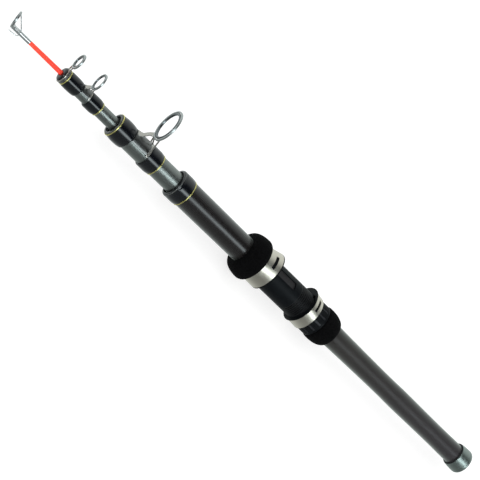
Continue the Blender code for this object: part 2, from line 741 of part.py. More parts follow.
def hood_liner(name, back, mouth, lip_at_mouth, solid_end, parent, x, flare=0.0, key=False):
    """The plastic lining: it fills the hood round the seat, but for the reel foot's pocket."""
    gap = -(HOOD_WALL + CLEAR)
    body = offset_cone_mesh(name, bigger_circle(back, gap), bigger_circle(mouth, gap))
    obj = new_part(name, body, x, parent, "seat_black")
    face = mouth
    outside = 1
    if lip_at_mouth < 0:
        face = back
        outside = -1
    ends = [
        moved_circle(face, outside * CLEAR, flare * 0.3),
        moved_circle(face, outside * (CLEAR + HOOD_LIP), flare),
    ]
    lip = offset_cone_mesh(name + "_lip", *ends[::outside])
    combine(obj, helper(name + "_lip", lip, parent, x), "UNION")
    ends = [
        moved_circle(face, outside * -0.001, gap - 0.00005),
        moved_circle(face, outside * (CLEAR + 0.0001), gap - 0.00006),
    ]
    neck = offset_cone_mesh(name + "_neck", *ends[::outside])
    combine(obj, helper(name + "_neck", neck, parent, x), "UNION")
    bore_radius = SEAT_RADIUS + CLEAR
    low = min(back[0], mouth[0]) - 0.003
    high = max(back[0], mouth[0]) + 0.003
    bore = offset_cone_mesh(name + "_bore", (low, bore_radius, 0.0), (high, bore_radius, 0.0), ROUND)
    combine(obj, helper(name + "_bore", bore, parent, x), "DIFFERENCE")
    pocket_top = [bigger_circle(circle, gap - 0.0008) for circle in (back, mouth)]
    pocket = offset_cone_mesh(name + "_pocket", *stretched(*pocket_top, 0.002))
    keep = box_mesh(
        name + "_pocket_room",
        (solid_end if outside > 0 else low, -POCKET_WIDTH / 2, 0.0),
        (high if outside > 0 else solid_end, POCKET_WIDTH / 2, 0.03),
    )
    pocket_obj = helper(name + "_pocket", pocket, parent, x)
    combine(pocket_obj, helper(name + "_pocket_room", keep, parent, x), "INTERSECT")
    combine(obj, pocket_obj, "DIFFERENCE")
    if key:
        length = mouth[0] - back[0]
        tongue = box_mesh(
            name + "_key",
            (back[0] + 0.002, -KEYWAY_WIDTH / 2 + CLEAR, -SEAT_RADIUS - 2 * CLEAR - 0.0002),
            (back[0] + length * 0.8, KEYWAY_WIDTH / 2 - CLEAR, -SEAT_RADIUS + KEYWAY_DEPTH - CLEAR),
        )
        combine(obj, helper(name + "_key", tongue, parent, x), "UNION")


def reel_hoods():
    back = (X_FIXED_MOUTH, FIXED_MOUTH_RADIUS, FIXED_MOUTH_RISE)
    front = (X_FIXED_HOOD_FRONT, FIXED_HOOD_RADIUS, FIXED_HOOD_RISE)
    hood("fixed_hood", back, front, -1, BUTT_AXIS, 0.0)
    solid_end = X_FIXED_HOOD_FRONT - POCKET_BACK_WALL
    hood_liner("fixed_hood_liner", back, front, -1, solid_end, BUTT_AXIS, 0.0)
    back = (0.0, MOVING_HOOD_RADIUS, 0.0)
    mouth = (MOVING_HOOD_LENGTH, MOVING_MOUTH_RADIUS, MOVING_MOUTH_RISE, MOVING_MOUTH_RAKE)
    hood("moving_hood", back, mouth, 1, HOOD_AXIS, X_MOVING_HOOD)
    hood_liner(
        "moving_hood_liner",
        back,
        mouth,
        1,
        POCKET_BACK_WALL,
        HOOD_AXIS,
        X_MOVING_HOOD,
        MOVING_LIP_FLARE,
        key=True,
    )


def lock_nut():
    inner = SEAT_RADIUS + CLEAR
    nut = ring(
        "lock_nut",
        inner,
        LOCK_NUT_RADIUS,
        0.0,
        LOCK_NUT_LENGTH,
        X_LOCK_NUT,
        NUT_AXIS,
        "seat_black",
        2 * ROUND - 4,
    )
    grooves = bmesh.new()
    groove_height = LOCK_NUT_RADIUS + 0.001 - LOBE_GROOVE_DEPTH
    for i in range(LOCK_NUT_LOBES):
        turn = Matrix.Rotation(2 * math.pi * (i + 0.5) / LOCK_NUT_LOBES, 4, "X")
        move = Matrix.Translation((LOBE_FLANGE + LOCK_NUT_LENGTH / 2, 0.0, groove_height))
        size = Matrix.Diagonal((LOCK_NUT_LENGTH, LOBE_GROOVE_WIDTH, 0.002, 1.0))
        bmesh.ops.create_cube(grooves, size=1.0, matrix=turn @ move @ size)
    mesh = bpy.data.meshes.new("lobe_grooves")
    grooves.to_mesh(mesh)
    grooves.free()
    combine(nut, helper("lobe_grooves", mesh, NUT_AXIS, X_LOCK_NUT), "DIFFERENCE")


def section_profile(front, rear, front_radius, rear_radius, stop_radius, bore, throat, throat_from, opening):
    """A hollow section: it ends in a stop at the butt side and a throat at the tip side."""
    stop = STOP_LENGTH
    return [
        (front_radius, front),
        (rear_radius, rear + stop + STOP_TAPER),
        (stop_radius, rear + stop),
        (stop_radius, rear),
        (bore, rear),
        (bore, throat_from - 0.003),
        (throat, throat_from),
        (throat, front - 0.003),
        (opening, front),
    ]


def guide_rim(name, hole, insert, rim, height, x, parent, material="guide_steel", steps=ROUND - 4):
    """The frame's ring, without its legs. Returned as a part so that the legs can be joined to it."""
    inner = hole + 2 * insert + CLEAR
    outer = inner + rim
    half = RIM_WIDTH / 2
    edge = min(rim, half) * 0.45
    profile = [
        (outer, half - edge),
        (outer, -half + edge),
        (outer - edge, -half),
        (inner, -half),
        (inner, half),
        (outer - edge, half),
    ]
    mesh = turned_mesh(name, profile, steps)
    mesh.transform(Matrix.Translation((0.0, 0.0, height)))
    return new_part(name, mesh, x, parent, material)


def guide_insert(name, hole, insert, height, x, parent, lean=0.0):
    """The hard ring that the line runs through, a torus."""
    bpy.ops.mesh.primitive_torus_add(
        major_segments=ROUND - 4,
        minor_segments=8,
        major_radius=hole + insert,
        minor_radius=insert,
    )
    made = bpy.context.active_object
    mesh = made.data
    bpy.data.objects.remove(made, do_unlink=True)
    mesh.transform(Matrix.Rotation(math.pi / 2, 4, "Y"))
    mesh.transform(Matrix.Rotation(lean, 4, "Y"))
    mesh.transform(Matrix.Translation((0.0, 0.0, height)))
    mesh.name = name
    new_part(name, mesh, x, parent, "insert_grey")


def arc_band_mesh(name, inner, outer, start, end, half_angle):
    """Part of a ring round the rod, as far as half_angle each side of the guide's direction."""
    mesh = turned_mesh(name, [(outer, end), (outer, start), (inner, start), (inner, end)], ROUND)
    edit = bmesh.new()
    edit.from_mesh(mesh)
    for side in (-1, 1):
        normal = Vector((0.0, side * math.cos(half_angle), -math.sin(half_angle)))
        geometry = edit.verts[:] + edit.edges[:] + edit.faces[:]
        cut = bmesh.ops.bisect_plane(
            edit, geom=geometry, plane_co=(0, 0, 0), plane_no=normal, clear_outer=True
        )
        loop = [g for g in cut["geom_cut"] if isinstance(g, bmesh.types.BMEdge)]
        bmesh.ops.edgeloop_fill(edit, edges=loop)
    bmesh.ops.recalc_face_normals(edit, faces=edit.faces)
    edit.to_mesh(mesh)
    edit.free()
    return mesh


def legs(frame, parent, x, ring_end, foot_end):
    """Two wires from a ring's lower sides to the ends of the rear hoop.

    ring_end is (height, radius, angle from the ring's lowest point), foot_end (x, radius, angle).
    """
    height, ring_radius, ring_angle = ring_end
    foot_x, foot_radius, foot_angle = foot_end
    for side, mark in ((-1, "far"), (1, "near")):
        top = (
            -RIM_WIDTH * 0.2,
            side * ring_radius * math.sin(ring_angle),
            height - ring_radius * math.cos(ring_angle),
        )
        foot = (
            foot_x,
            side * foot_radius * math.sin(foot_angle),
            foot_radius * math.cos(foot_angle),
        )
        name = f"{frame.name}_leg_{mark}"
        leg = curve_mesh(name, [top, foot], LEG_WIRE)
        combine(frame, helper(name, leg, parent, x), "UNION")


def section_3():
    collar_start = X_COLLAR_3
    back = X_SECTION_3_BACK
    front = X_MOUTH_3 - BUTT_LIP - CLEAR - back
    throat_from = X_COLLAR_3 - back
    opening = SECTION_3_THROAT + 0.0009
    profile = section_profile(
        front,
        0.0,
        SECTION_3_FRONT_RADIUS,
        SECTION_3_REAR_RADIUS,
        SECTION_3_STOP,
        SECTION_3_BORE,
        SECTION_3_THROAT,
        throat_from,
        opening,
    )
    turned("section_3_blank", profile, back, SECTION_3_AXIS, "carbon_grey")
    blank = SECTION_3_FRONT_RADIUS + 0.00003
    collar(
        "section_3_mouth_wrap",
        blank,
        COLLAR_3_WALL,
        collar_start,
        X_MOUTH_BAND_3,
        X_MOUTH_3,
        opening,
        SECTION_3_AXIS,
    )
    collar_outer = blank + CLEAR + COLLAR_3_WALL
    mouth_band(
        "section_3_mouth_band", collar_outer - 0.0008, X_MOUTH_BAND_3, SECTION_3_AXIS
    )
    foot_wrap("section_3_foot_wrap", blank, FOOT_WRAP_3_WALL, X_FOOT_BAND_3, X_HOOP_3, SECTION_3_AXIS)
    gold_band("section_3_foot_band", blank, X_FOOT_BAND_3, SECTION_3_AXIS)


def collar(name, blank, wall, start_x, band_x, mouth_x, opening, parent):
    """A barrel-shaped whipping on a section's front end, with a seat for the band near its mouth."""
    length = mouth_x - start_x
    band = band_x - start_x
    outer = blank + CLEAR + wall
    seat = outer - 0.0008 - CLEAR
    mouth_outer = seat - 0.0001
    profile = [
        (opening, length),
        (mouth_outer, length),
        (seat, band + BAND_WIDTH + CLEAR),
        (seat, band - CLEAR),
        (outer - 0.0005, band - CLEAR),
    ]
    profile += [
        (outer - 0.0002, length * 0.72),
        (outer, length * 0.52),
        (outer - 0.0002, length * 0.28),
    ]
    profile += quarter((outer - 0.0005, 0.0012), (outer - 0.0011, 0.0), 2, False)
    profile += [
        (blank + CLEAR, 0.0),
        (blank + CLEAR, length - BUTT_LIP),
        (opening, length - BUTT_LIP),
    ]
    turned(name, profile, start_x, parent, "wrap_black")


def mouth_band(name, inner, x, parent):
    ring(name, inner, inner + BAND_WALL, 0.0, BAND_WIDTH, x, parent, "gold")


def foot_wrap(name, blank, wall, band_x, hoop_x, parent):
    """The whipping behind a guide's rear hoop, closed at the butt side by a gold band."""
    inner = blank + CLEAR
    outer = inner + wall
    start = BAND_WIDTH + CLEAR
    end = hoop_x - band_x - 0.0009
    profile = [
        (outer - 0.0003, end),
        (outer, end - 0.0015),
        (outer, start + 0.0035),
        (outer - 0.0003, start + 0.0012),
        (inner + BAND_WALL, start),
        (inner, start),
        (inner, end),
    ]
    turned(name, profile, band_x, parent, "wrap_black")


def guide_3():
    guide_axis = axis_empty("big_guide_axis", X_HOOP_3 + GUIDE_3_BACKSET, SECTION_3_AXIS, GUIDE_TURN)
    x = X_HOOP_3 + GUIDE_3_BACKSET
    blank = SECTION_3_FRONT_RADIUS + 0.00003
    plate_inner = blank + CLEAR
    plate_outer = plate_inner + FOOT_PLATE_WALL
    frame = guide_rim(
        "big_guide_frame",
        GUIDE_3_HOLE,
        GUIDE_3_INSERT,
        GUIDE_3_RIM,
        GUIDE_3_HEIGHT,
        x,
        guide_axis,
    )
    rim_middle = GUIDE_3_HOLE + 2 * GUIDE_3_INSERT + CLEAR + GUIDE_3_RIM / 2
    rim_bottom = GUIDE_3_HEIGHT - rim_middle
    to_front = X_COLLAR_3 - CLEAR - x
    to_hoop = X_HOOP_3 - x
    plate = arc_band_mesh(
        "big_guide_plate", plate_inner, plate_outer, to_hoop + 0.0004, to_front, FOOT_PLATE_HALF_ANGLE
    )
    combine(frame, helper("big_guide_plate", plate, guide_axis, x), "UNION")
    middle = (plate_inner + plate_outer) / 2 + 0.0003
    strap_line = [
        (to_front - 0.0014, middle),
        (to_front - 0.0034, middle + 0.0004),
        (to_front - 0.0048, middle + 0.0015),
        (0.0004, rim_bottom - 0.0004),
    ]
    strap = ribbon_mesh("big_guide_strap", strap_line, STRAP_THICKNESS, GUIDE_3_STRAP)
    combine(frame, helper("big_guide_strap", strap, guide_axis, x), "UNION")
    hoop_outer = plate_outer + GUIDE_3_HOOP_WIRE
    hoop = arc_band_mesh(
        "big_guide_hoop",
        plate_inner + 0.00015,
        hoop_outer,
        to_hoop,
        to_hoop + GUIDE_3_HOOP_WIDTH,
        HOOP_HALF_ANGLE,
    )
    combine(frame, helper("big_guide_hoop", hoop, guide_axis, x), "UNION")
    hoop_middle = (plate_inner + hoop_outer) / 2
    rib_top = (-0.0002, 0.0, rim_bottom - 0.0001)
    rib_foot = (to_hoop + GUIDE_3_HOOP_WIDTH * 0.7, 0.0, hoop_middle)
    rib = curve_mesh("big_guide_rib", [rib_top, rib_foot], LEG_WIRE * 1.3)
    combine(frame, helper("big_guide_rib", rib, guide_axis, x), "UNION")
    legs(
        frame,
        guide_axis,
        x,
        (GUIDE_3_HEIGHT, rim_middle, math.radians(58)),
        (to_hoop + LEG_WIRE * 1.2, hoop_middle, HOOP_HALF_ANGLE - math.radians(6)),
    )
    guide_insert("big_guide_ring", GUIDE_3_HOLE, GUIDE_3_INSERT, GUIDE_3_HEIGHT, x, guide_axis)


def section_2():
    back = X_INNER_BACK
    front = X_SECTION_2_FRONT - back
    throat_from = X_COLLAR_2 - back
    profile = section_profile(
        front,
        0.0,
        SECTION_2_FRONT_RADIUS,
        SECTION_2_REAR_RADIUS,
        SECTION_2_STOP,
        SECTION_2_BORE,
        SECTION_2_THROAT,
        throat_from,
        SECTION_2_THROAT + 0.0003,
    )
    turned("section_2_blank", profile, back, SECTION_2_AXIS, "carbon_grey")
    blank = section_2_radius(X_COLLAR_2)
    outer = blank + CLEAR + COLLAR_2_WALL
    inner = blank + CLEAR
    length = X_MOUTH_BAND_2 - CLEAR - X_COLLAR_2
    profile = [
        (outer - 0.0004, length),
        (outer, length - 0.0020),
        (outer, length * 0.45),
        (outer - 0.0002, length * 0.22),
    ]
    profile += quarter((outer - 0.0005, 0.0010), (outer - 0.0009, 0.0), 2, False)
    profile += [(inner, 0.0), (inner, length)]
    turned("section_2_mouth_wrap", profile, X_COLLAR_2, SECTION_2_AXIS, "wrap_black")
    band_inner = blank + CLEAR
    ring(
        "section_2_mouth_band",
        band_inner,
        outer - 0.0002,
        0.0,
        BAND_WIDTH,
        X_MOUTH_BAND_2,
        SECTION_2_AXIS,
        "gold",
    )
    start = BAND_WIDTH + CLEAR
    end = GUIDE_1_SETBACK - GUIDE_1_HOOP_WIRE - CLEAR
    ring(
        "section_2_tip_wrap",
        band_inner,
        outer - 0.0004,
        start,
        end,
        X_MOUTH_BAND_2,
        SECTION_2_AXIS,
        "wrap_black",
    )
    rear_blank = section_2_radius(X_FOOT_BAND_2)
    foot_wrap("section_2_foot_wrap", rear_blank, FOOT_WRAP_2_WALL, X_FOOT_BAND_2, X_HOOP_2, SECTION_2_AXIS)
    gold_band("section_2_foot_band", rear_blank, X_FOOT_BAND_2, SECTION_2_AXIS)
    nose()


def section_2_radius(x):
    """Outer radius of section 2's tapered blank at a station of the rod."""
    front = X_SECTION_2_FRONT
    rear = X_INNER_BACK + STOP_LENGTH + STOP_TAPER
    share = (front - x) / (front - rear)
    return SECTION_2_FRONT_RADIUS + share * (SECTION_2_REAR_RADIUS - SECTION_2_FRONT_RADIUS)


def nose():
    """The black end piece that the tip slides through: it closes the blank's front."""
    hole = SECTION_2_THROAT
    length = X_NOSE - X_NOSE_BACK
    profile = [
        (hole, length),
        (NOSE_FRONT_RADIUS, length),
        (NOSE_FRONT_RADIUS + (NOSE_RADIUS - NOSE_FRONT_RADIUS) * 0.55, length * 0.80),
        (NOSE_FRONT_RADIUS + (NOSE_RADIUS - NOSE_FRONT_RADIUS) * 0.88, length * 0.42),
        (NOSE_RADIUS, 0.0),
        (hole, 0.0),
    ]
    turned("nose_piece", profile, X_NOSE_BACK, SECTION_2_AXIS, "wrap_black", SMALL_ROUND)


def guide_2():
    x = X_HOOP_2 + GUIDE_2_BACKSET
    guide_axis = axis_empty("middle_guide_axis", x, SECTION_2_AXIS, GUIDE_TURN)
    plate_inner = section_2_radius(X_HOOP_2) + CLEAR
    plate_outer = plate_inner + FOOT_PLATE_WALL
    frame = guide_rim(
        "middle_guide_frame",
        GUIDE_2_HOLE,
        GUIDE_2_INSERT,
        GUIDE_2_RIM,
        GUIDE_2_HEIGHT,
        x,
        guide_axis,
        steps=24,
    )
    rim_middle = GUIDE_2_HOLE + 2 * GUIDE_2_INSERT + CLEAR + GUIDE_2_RIM / 2
    rim_bottom = GUIDE_2_HEIGHT - rim_middle
    to_front = X_COLLAR_2 - CLEAR - x
    to_hoop = X_HOOP_2 - x
    plate = arc_band_mesh(
        "middle_guide_plate", plate_inner, plate_outer, to_hoop + 0.0004, to_front, FOOT_PLATE_HALF_ANGLE
    )
    combine(frame, helper("middle_guide_plate", plate, guide_axis, x), "UNION")
    middle = (plate_inner + plate_outer) / 2 + 0.0003
    strap_line = [
        (to_front - 0.0003, middle),
        (to_front - 0.0014, middle + 0.0004),
        (0.0002, rim_bottom - 0.0002),
    ]
    strap = ribbon_mesh("middle_guide_strap", strap_line, STRAP_THICKNESS, GUIDE_2_STRAP)
    combine(frame, helper("middle_guide_strap", strap, guide_axis, x), "UNION")
    hoop_outer = plate_outer + GUIDE_2_HOOP_WIRE
    hoop = arc_band_mesh(
        "middle_guide_hoop",
        plate_inner + 0.00015,
        hoop_outer,
        to_hoop,
        to_hoop + GUIDE_2_HOOP_WIDTH,
        HOOP_HALF_ANGLE,
    )
    combine(frame, helper("middle_guide_hoop", hoop, guide_axis, x), "UNION")
    legs(
        frame,
        guide_axis,
        x,
        (GUIDE_2_HEIGHT, rim_middle, math.radians(50)),
        (to_hoop + LEG_WIRE * 1.2, (plate_inner + hoop_outer) / 2, math.radians(45)),
    )
    guide_insert("middle_guide_ring", GUIDE_2_HOLE, GUIDE_2_INSERT, GUIDE_2_HEIGHT, x, guide_axis)


def guide_1():
    x = X_HOOP_1 + GUIDE_1_LEAN_FORWARD
    guide_axis = axis_empty("front_guide_axis", x, SECTION_2_AXIS, GUIDE_TURN)
    frame = guide_rim(
        "front_guide_frame",
        GUIDE_1_HOLE,
        GUIDE_1_INSERT,
        GUIDE_1_RIM,
        GUIDE_1_HEIGHT,
        x,
        guide_axis,
        steps=24,
    )
    blank = section_2_radius(X_HOOP_1 - 0.001)
    to_hoop = X_HOOP_1 - x
    hoop_radius = blank + CLEAR + GUIDE_1_HOOP_WIRE
    half = GUIDE_1_HOOP_WIRE
    hoop = turned_mesh(
        "front_guide_hoop",
        [
            (hoop_radius + half * 0.4, to_hoop + half),
            (hoop_radius + half, to_hoop),
            (hoop_radius + half * 0.4, to_hoop - half),
            (hoop_radius - half, to_hoop - half),
            (hoop_radius - half, to_hoop + half),
        ],
        24,
    )
    combine(frame, helper("front_guide_hoop", hoop, guide_axis, x), "UNION")
    rim_middle = GUIDE_1_HOLE + 2 * GUIDE_1_INSERT + CLEAR + GUIDE_1_RIM / 2
    for side in (-1, 1):
        top = (
            0.0,
            side * rim_middle * math.sin(math.radians(24)),
            GUIDE_1_HEIGHT - rim_middle * math.cos(math.radians(24)),
        )
        foot = (
            to_hoop,
            side * hoop_radius * math.sin(math.radians(28)),
            hoop_radius * math.cos(math.radians(28)),
        )
        leg = curve_mesh(f"front_guide_leg_{side}", [top, foot], LEG_WIRE * 1.3)
        combine(frame, helper(f"front_guide_leg_{side}", leg, guide_axis, x), "UNION")
    guide_insert("front_guide_ring", GUIDE_1_HOLE, GUIDE_1_INSERT, GUIDE_1_HEIGHT, x, guide_axis)


def tip():
    back = X_INNER_BACK
    front = X_FERRULE_FRONT - FERRULE_BLIND_END - CLEAR - back
    nose_x = X_NOSE - back
    profile = [
        (0.0, front),
        (TIP_FRONT_RADIUS - FERRULE_WALL, front),
        (TIP_FRONT_RADIUS - FERRULE_WALL, X_FERRULE - CLEAR - back),
        (TIP_FRONT_RADIUS, X_FERRULE - CLEAR - back),
        (TIP_NOSE_RADIUS, nose_x),
        (TIP_REAR_RADIUS, STOP_LENGTH + STOP_TAPER),
        (TIP_STOP, STOP_LENGTH),
        (TIP_STOP, 0.0),
        (0.0, 0.0),
    ]
    turned("tip_blank", profile, back, TIP_AXIS, "tip_red", SMALL_ROUND, closed=False)
    tip_top()


def tip_top():
    """Ferrule, leaning ring, two side braces and the wire line keeper, all one piece of steel."""
    x = X_FERRULE_FRONT + TIP_RING_AHEAD
    guide_axis = axis_empty("tip_top_axis", x, TIP_AXIS, TIP_TURN)
    bore = TIP_FRONT_RADIUS - FERRULE_WALL + CLEAR
    tube = bore + FERRULE_WALL
    inner = TIP_RING_HOLE + 2 * TIP_RING_INSERT + CLEAR
    frame = guide_rim(
        "tip_top_frame",
        TIP_RING_HOLE,
        TIP_RING_INSERT,
        TIP_RING_RIM,
        0.0,
        x,
        guide_axis,
        steps=24,
    )
    lean = Matrix.Translation((0.0, 0.0, TIP_RING_HEIGHT)) @ Matrix.Rotation(TIP_RING_LEAN, 4, "Y")
    frame.data.transform(lean)
    rim_middle = inner + TIP_RING_RIM / 2
    bottom = lean @ Vector((0.0, 0.0, -rim_middle))
    front = X_FERRULE_FRONT - x
    back = X_FERRULE - x
    blind = front - FERRULE_BLIND_END
    ferrule = turned_mesh(
        "tip_ferrule",
        [
            (0.0, front),
            (tube - 0.0004, front),
            (tube, front - 0.0005),
            (tube, back),
            (bore, back),
            (bore, blind),
            (0.0, blind),
        ],
        SMALL_ROUND,
        closed=False,
    )
    combine(frame, helper("tip_ferrule", ferrule, guide_axis, x), "UNION")
    web = ribbon_mesh(
        "tip_web",
        [(front - 0.0024, tube * 0.5), (front - 0.0012, tube * 0.6), (bottom.x, bottom.z - 0.0002)],
        tube * 0.8,
        tube * 1.3,
    )
    combine(frame, helper("tip_web", web, guide_axis, x), "UNION")
    foot_x = front - TIP_BRACE_FOOT
    for side, mark in ((-1, "far"), (1, "near")):
        angle = TIP_BRACE_ANGLE
        across = (0.0, side * rim_middle * math.sin(angle), rim_middle * math.cos(angle))
        top = lean @ Vector(across)
        foot = (foot_x, side * tube * 0.65, tube * 0.80)
        brace = curve_mesh("tip_brace_" + mark, [tuple(top), foot], TIP_BRACE_WIRE)
        combine(frame, helper("tip_brace_" + mark, brace, guide_axis, x), "UNION")
    low = Vector((math.sin(KEEPER_ANGLE), -math.cos(KEEPER_ANGLE)))
    keeper_line = [
        (foot_x - 0.0008, tube - 0.0001),
        (foot_x - 0.0010, KEEPER_DROP),
        (foot_x - 0.0004, KEEPER_DROP + 0.0002),
        (foot_x + KEEPER_LENGTH, KEEPER_DROP + 0.0008),
    ]
    keeper = curve_mesh(
        "line_keeper", [(along, low.x * drop, low.y * drop) for along, drop in keeper_line], KEEPER_WIRE
    )
    combine(frame, helper("line_keeper", keeper, guide_axis, x), "UNION")
    reach = RIM_WIDTH * 0.8
    hole = offset_cone_mesh("tip_ring_seat", (-reach, inner, 0.0), (reach, inner, 0.0), 24)
    hole.transform(lean)
    combine(frame, helper("tip_ring_seat", hole, guide_axis, x), "DIFFERENCE")
    guide_insert(
        "tip_ring",
        TIP_RING_HOLE,
        TIP_RING_INSERT,
        TIP_RING_HEIGHT,
        x,
        guide_axis,
        TIP_RING_LEAN,
    )


butt_end()
handle_tube()
butt_blank()
butt_mouth()
grips()
seat_body()
reel_hoods()
lock_nut()
section_3()
guide_3()
section_2()
guide_2()
guide_1()
tip()
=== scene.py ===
"""A collapsed telescopic boat rod on a white studio floor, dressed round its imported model."""

import math

import bmesh
import bpy
from mathutils import Matrix, Vector


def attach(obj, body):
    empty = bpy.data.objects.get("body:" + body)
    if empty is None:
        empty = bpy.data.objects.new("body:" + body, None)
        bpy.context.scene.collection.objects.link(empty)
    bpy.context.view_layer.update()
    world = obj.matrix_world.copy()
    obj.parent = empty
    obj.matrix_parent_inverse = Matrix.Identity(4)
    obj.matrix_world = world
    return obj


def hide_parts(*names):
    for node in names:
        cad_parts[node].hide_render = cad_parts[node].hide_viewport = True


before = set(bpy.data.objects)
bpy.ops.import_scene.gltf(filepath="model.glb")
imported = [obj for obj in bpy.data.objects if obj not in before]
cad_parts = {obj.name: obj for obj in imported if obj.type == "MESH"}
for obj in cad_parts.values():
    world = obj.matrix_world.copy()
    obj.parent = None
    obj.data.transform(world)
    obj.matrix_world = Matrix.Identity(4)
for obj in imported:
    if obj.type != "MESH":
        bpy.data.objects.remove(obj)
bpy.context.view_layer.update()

# Directions: along the rod, from the rod to the camera across it, and towards the guides
ALONG = Vector((1.0, 0.0, 0.0))
FACING = Vector((0.0, 0.588, 0.809)).normalized()
UPWARD = Vector((0.0, -0.809, 0.588)).normalized()

# Camera
VIEW_TILT = math.radians(25.5)
VIEW_ROLL = math.radians(44.206)
VIEW_DISTANCE = 1.760
VIEW_LENS = 165.0
AIM_ALONG = 0.2995
AIM_UP = 0.0038

# Fineness, fits and the floor
ROUND = 96
MEDIUM_ROUND = 64
SHARP = math.radians(42)
FIT = 0.0003
FLOOR_HEIGHT = -0.0203

# Stations along the rod, in metres from the butt's flat end
CAP_FRONT = 0.0130
TUBE_END = 0.0048
SECTION_3_BACK = 0.2007
GRIP_BACK = 0.1812
BLANK_BACK = 0.1844
GRIP_FRONT = 0.1986
NUT_BACK = 0.1989
NUT_FRONT = 0.2086
HOOD_BACK = 0.2089
THREAD_FRONT = 0.2325
CHANNEL_BACK = 0.2396
FIXED_MOUTH = 0.2642
SEAT_FRONT = 0.2756
FORE_BACK = 0.2759
FORE_FRONT = 0.2927
BUTT_BAND = 0.3625
BUTT_MOUTH = 0.3759
BAND_3_FOOT = 0.3968
HOOP_3 = 0.4107
COLLAR_3 = 0.4294
BAND_3_MOUTH = 0.4444
MOUTH_3 = 0.4463
BAND_2_FOOT = 0.4632
HOOP_2 = 0.4765
COLLAR_2 = 0.4857
BAND_2_MOUTH = 0.4996
HOOP_1 = 0.5031
NOSE_BACK = 0.5040
SECTION_2_FRONT = NOSE_BACK - FIT
NOSE_FRONT = 0.5056
FERRULE_BACK = 0.5402
FERRULE_FRONT = 0.5592
ROD_MIDDLE = 0.28

# Radii of the tubes
HANDLE_BORE = 0.0079
HANDLE_FRONT = 0.01005
SEAT_RADIUS = 0.0134
SEAT_BORE = 0.01165
BUTT_REAR = 0.01135
BUTT_TIP = 0.01178
BUTT_BORE = 0.01025
SECTION_3_TIP = 0.00915
SECTION_3_REAR = 0.0093
SECTION_3_BED = SECTION_3_TIP + FIT + 0.00003
SECTION_3_STOP = 0.00995
SECTION_3_BORE = 0.00815
SECTION_3_THROAT = 0.0069
SECTION_2_TIP = 0.0055
SECTION_2_REAR = 0.0066
SECTION_2_STOP = 0.0076
SECTION_2_BORE = 0.0046
SECTION_2_THROAT = 0.0026
TIP_END = 0.00172
TIP_STOP = 0.0043

# Sizes that several pieces share
SEAT_PITCH = 0.0018
SEAT_THREAD_DEPTH = 0.0007
HOOP_GAP = 0.0009
LIP = 0.0011
STOP_LENGTH = 0.016
STOP_TAPERED = 0.026
BAND_WIDTH = 0.0009
BAND_SPACE = BAND_WIDTH + FIT
FERRULE_WALL = 0.0004
FERRULE_BLIND = 0.0030
GUIDE_PLATE = 0.0007
GUIDE_STRAP = 0.0009
RIM_WIDTH = 0.0016
GUIDE_TURN = math.radians(24)
TIP_TURN = math.radians(-4)
TIP_LEAN = math.radians(16)

# The handle's waisted outline from its front to the cap: share of its length, radius
HANDLE_LINE = [
    (1.0, HANDLE_FRONT),
    (0.86, 0.00965),
    (0.66, 0.00925),
    (0.57, 0.00925),
    (0.49, 0.00946),
    (0.36, 0.00928),
    (0.20, 0.0091),
    (0.09, 0.0093),
    (0.0, 0.0093),
]

# The long strip lamp that glossy surfaces mirror: turn round the rod, half width, brightness
STRIP_TURN = 1.0
STRIP_HALF = 7.0
STRIP_GLOW = 5.2


class Signal:
    """A shader socket that takes part in sums."""

    def __init__(self, paint, socket):
        self.paint = paint
        self.socket = socket

    def math(self, operation, *values):
        return self.paint.node("ShaderNodeMath", {"operation": operation}, dict(enumerate(values)))

    def __add__(self, other):
        return self.math("ADD", self, other)

    def __radd__(self, other):
        return self.math("ADD", other, self)

    def __sub__(self, other):
        return self.math("SUBTRACT", self, other)

    def __rsub__(self, other):
        return self.math("SUBTRACT", other, self)

    def __mul__(self, other):
        return self.math("MULTIPLY", self, other)

    def __rmul__(self, other):
        return self.math("MULTIPLY", other, self)

    def __truediv__(self, other):
        return self.math("DIVIDE", self, other)

    def __pow__(self, other):
        return self.math("POWER", self, other)

    def sine(self):
        return self.math("SINE", self)

    def clipped(self):
        return self.math("MINIMUM", self.math("MAXIMUM", self, 0.0), 1.0)


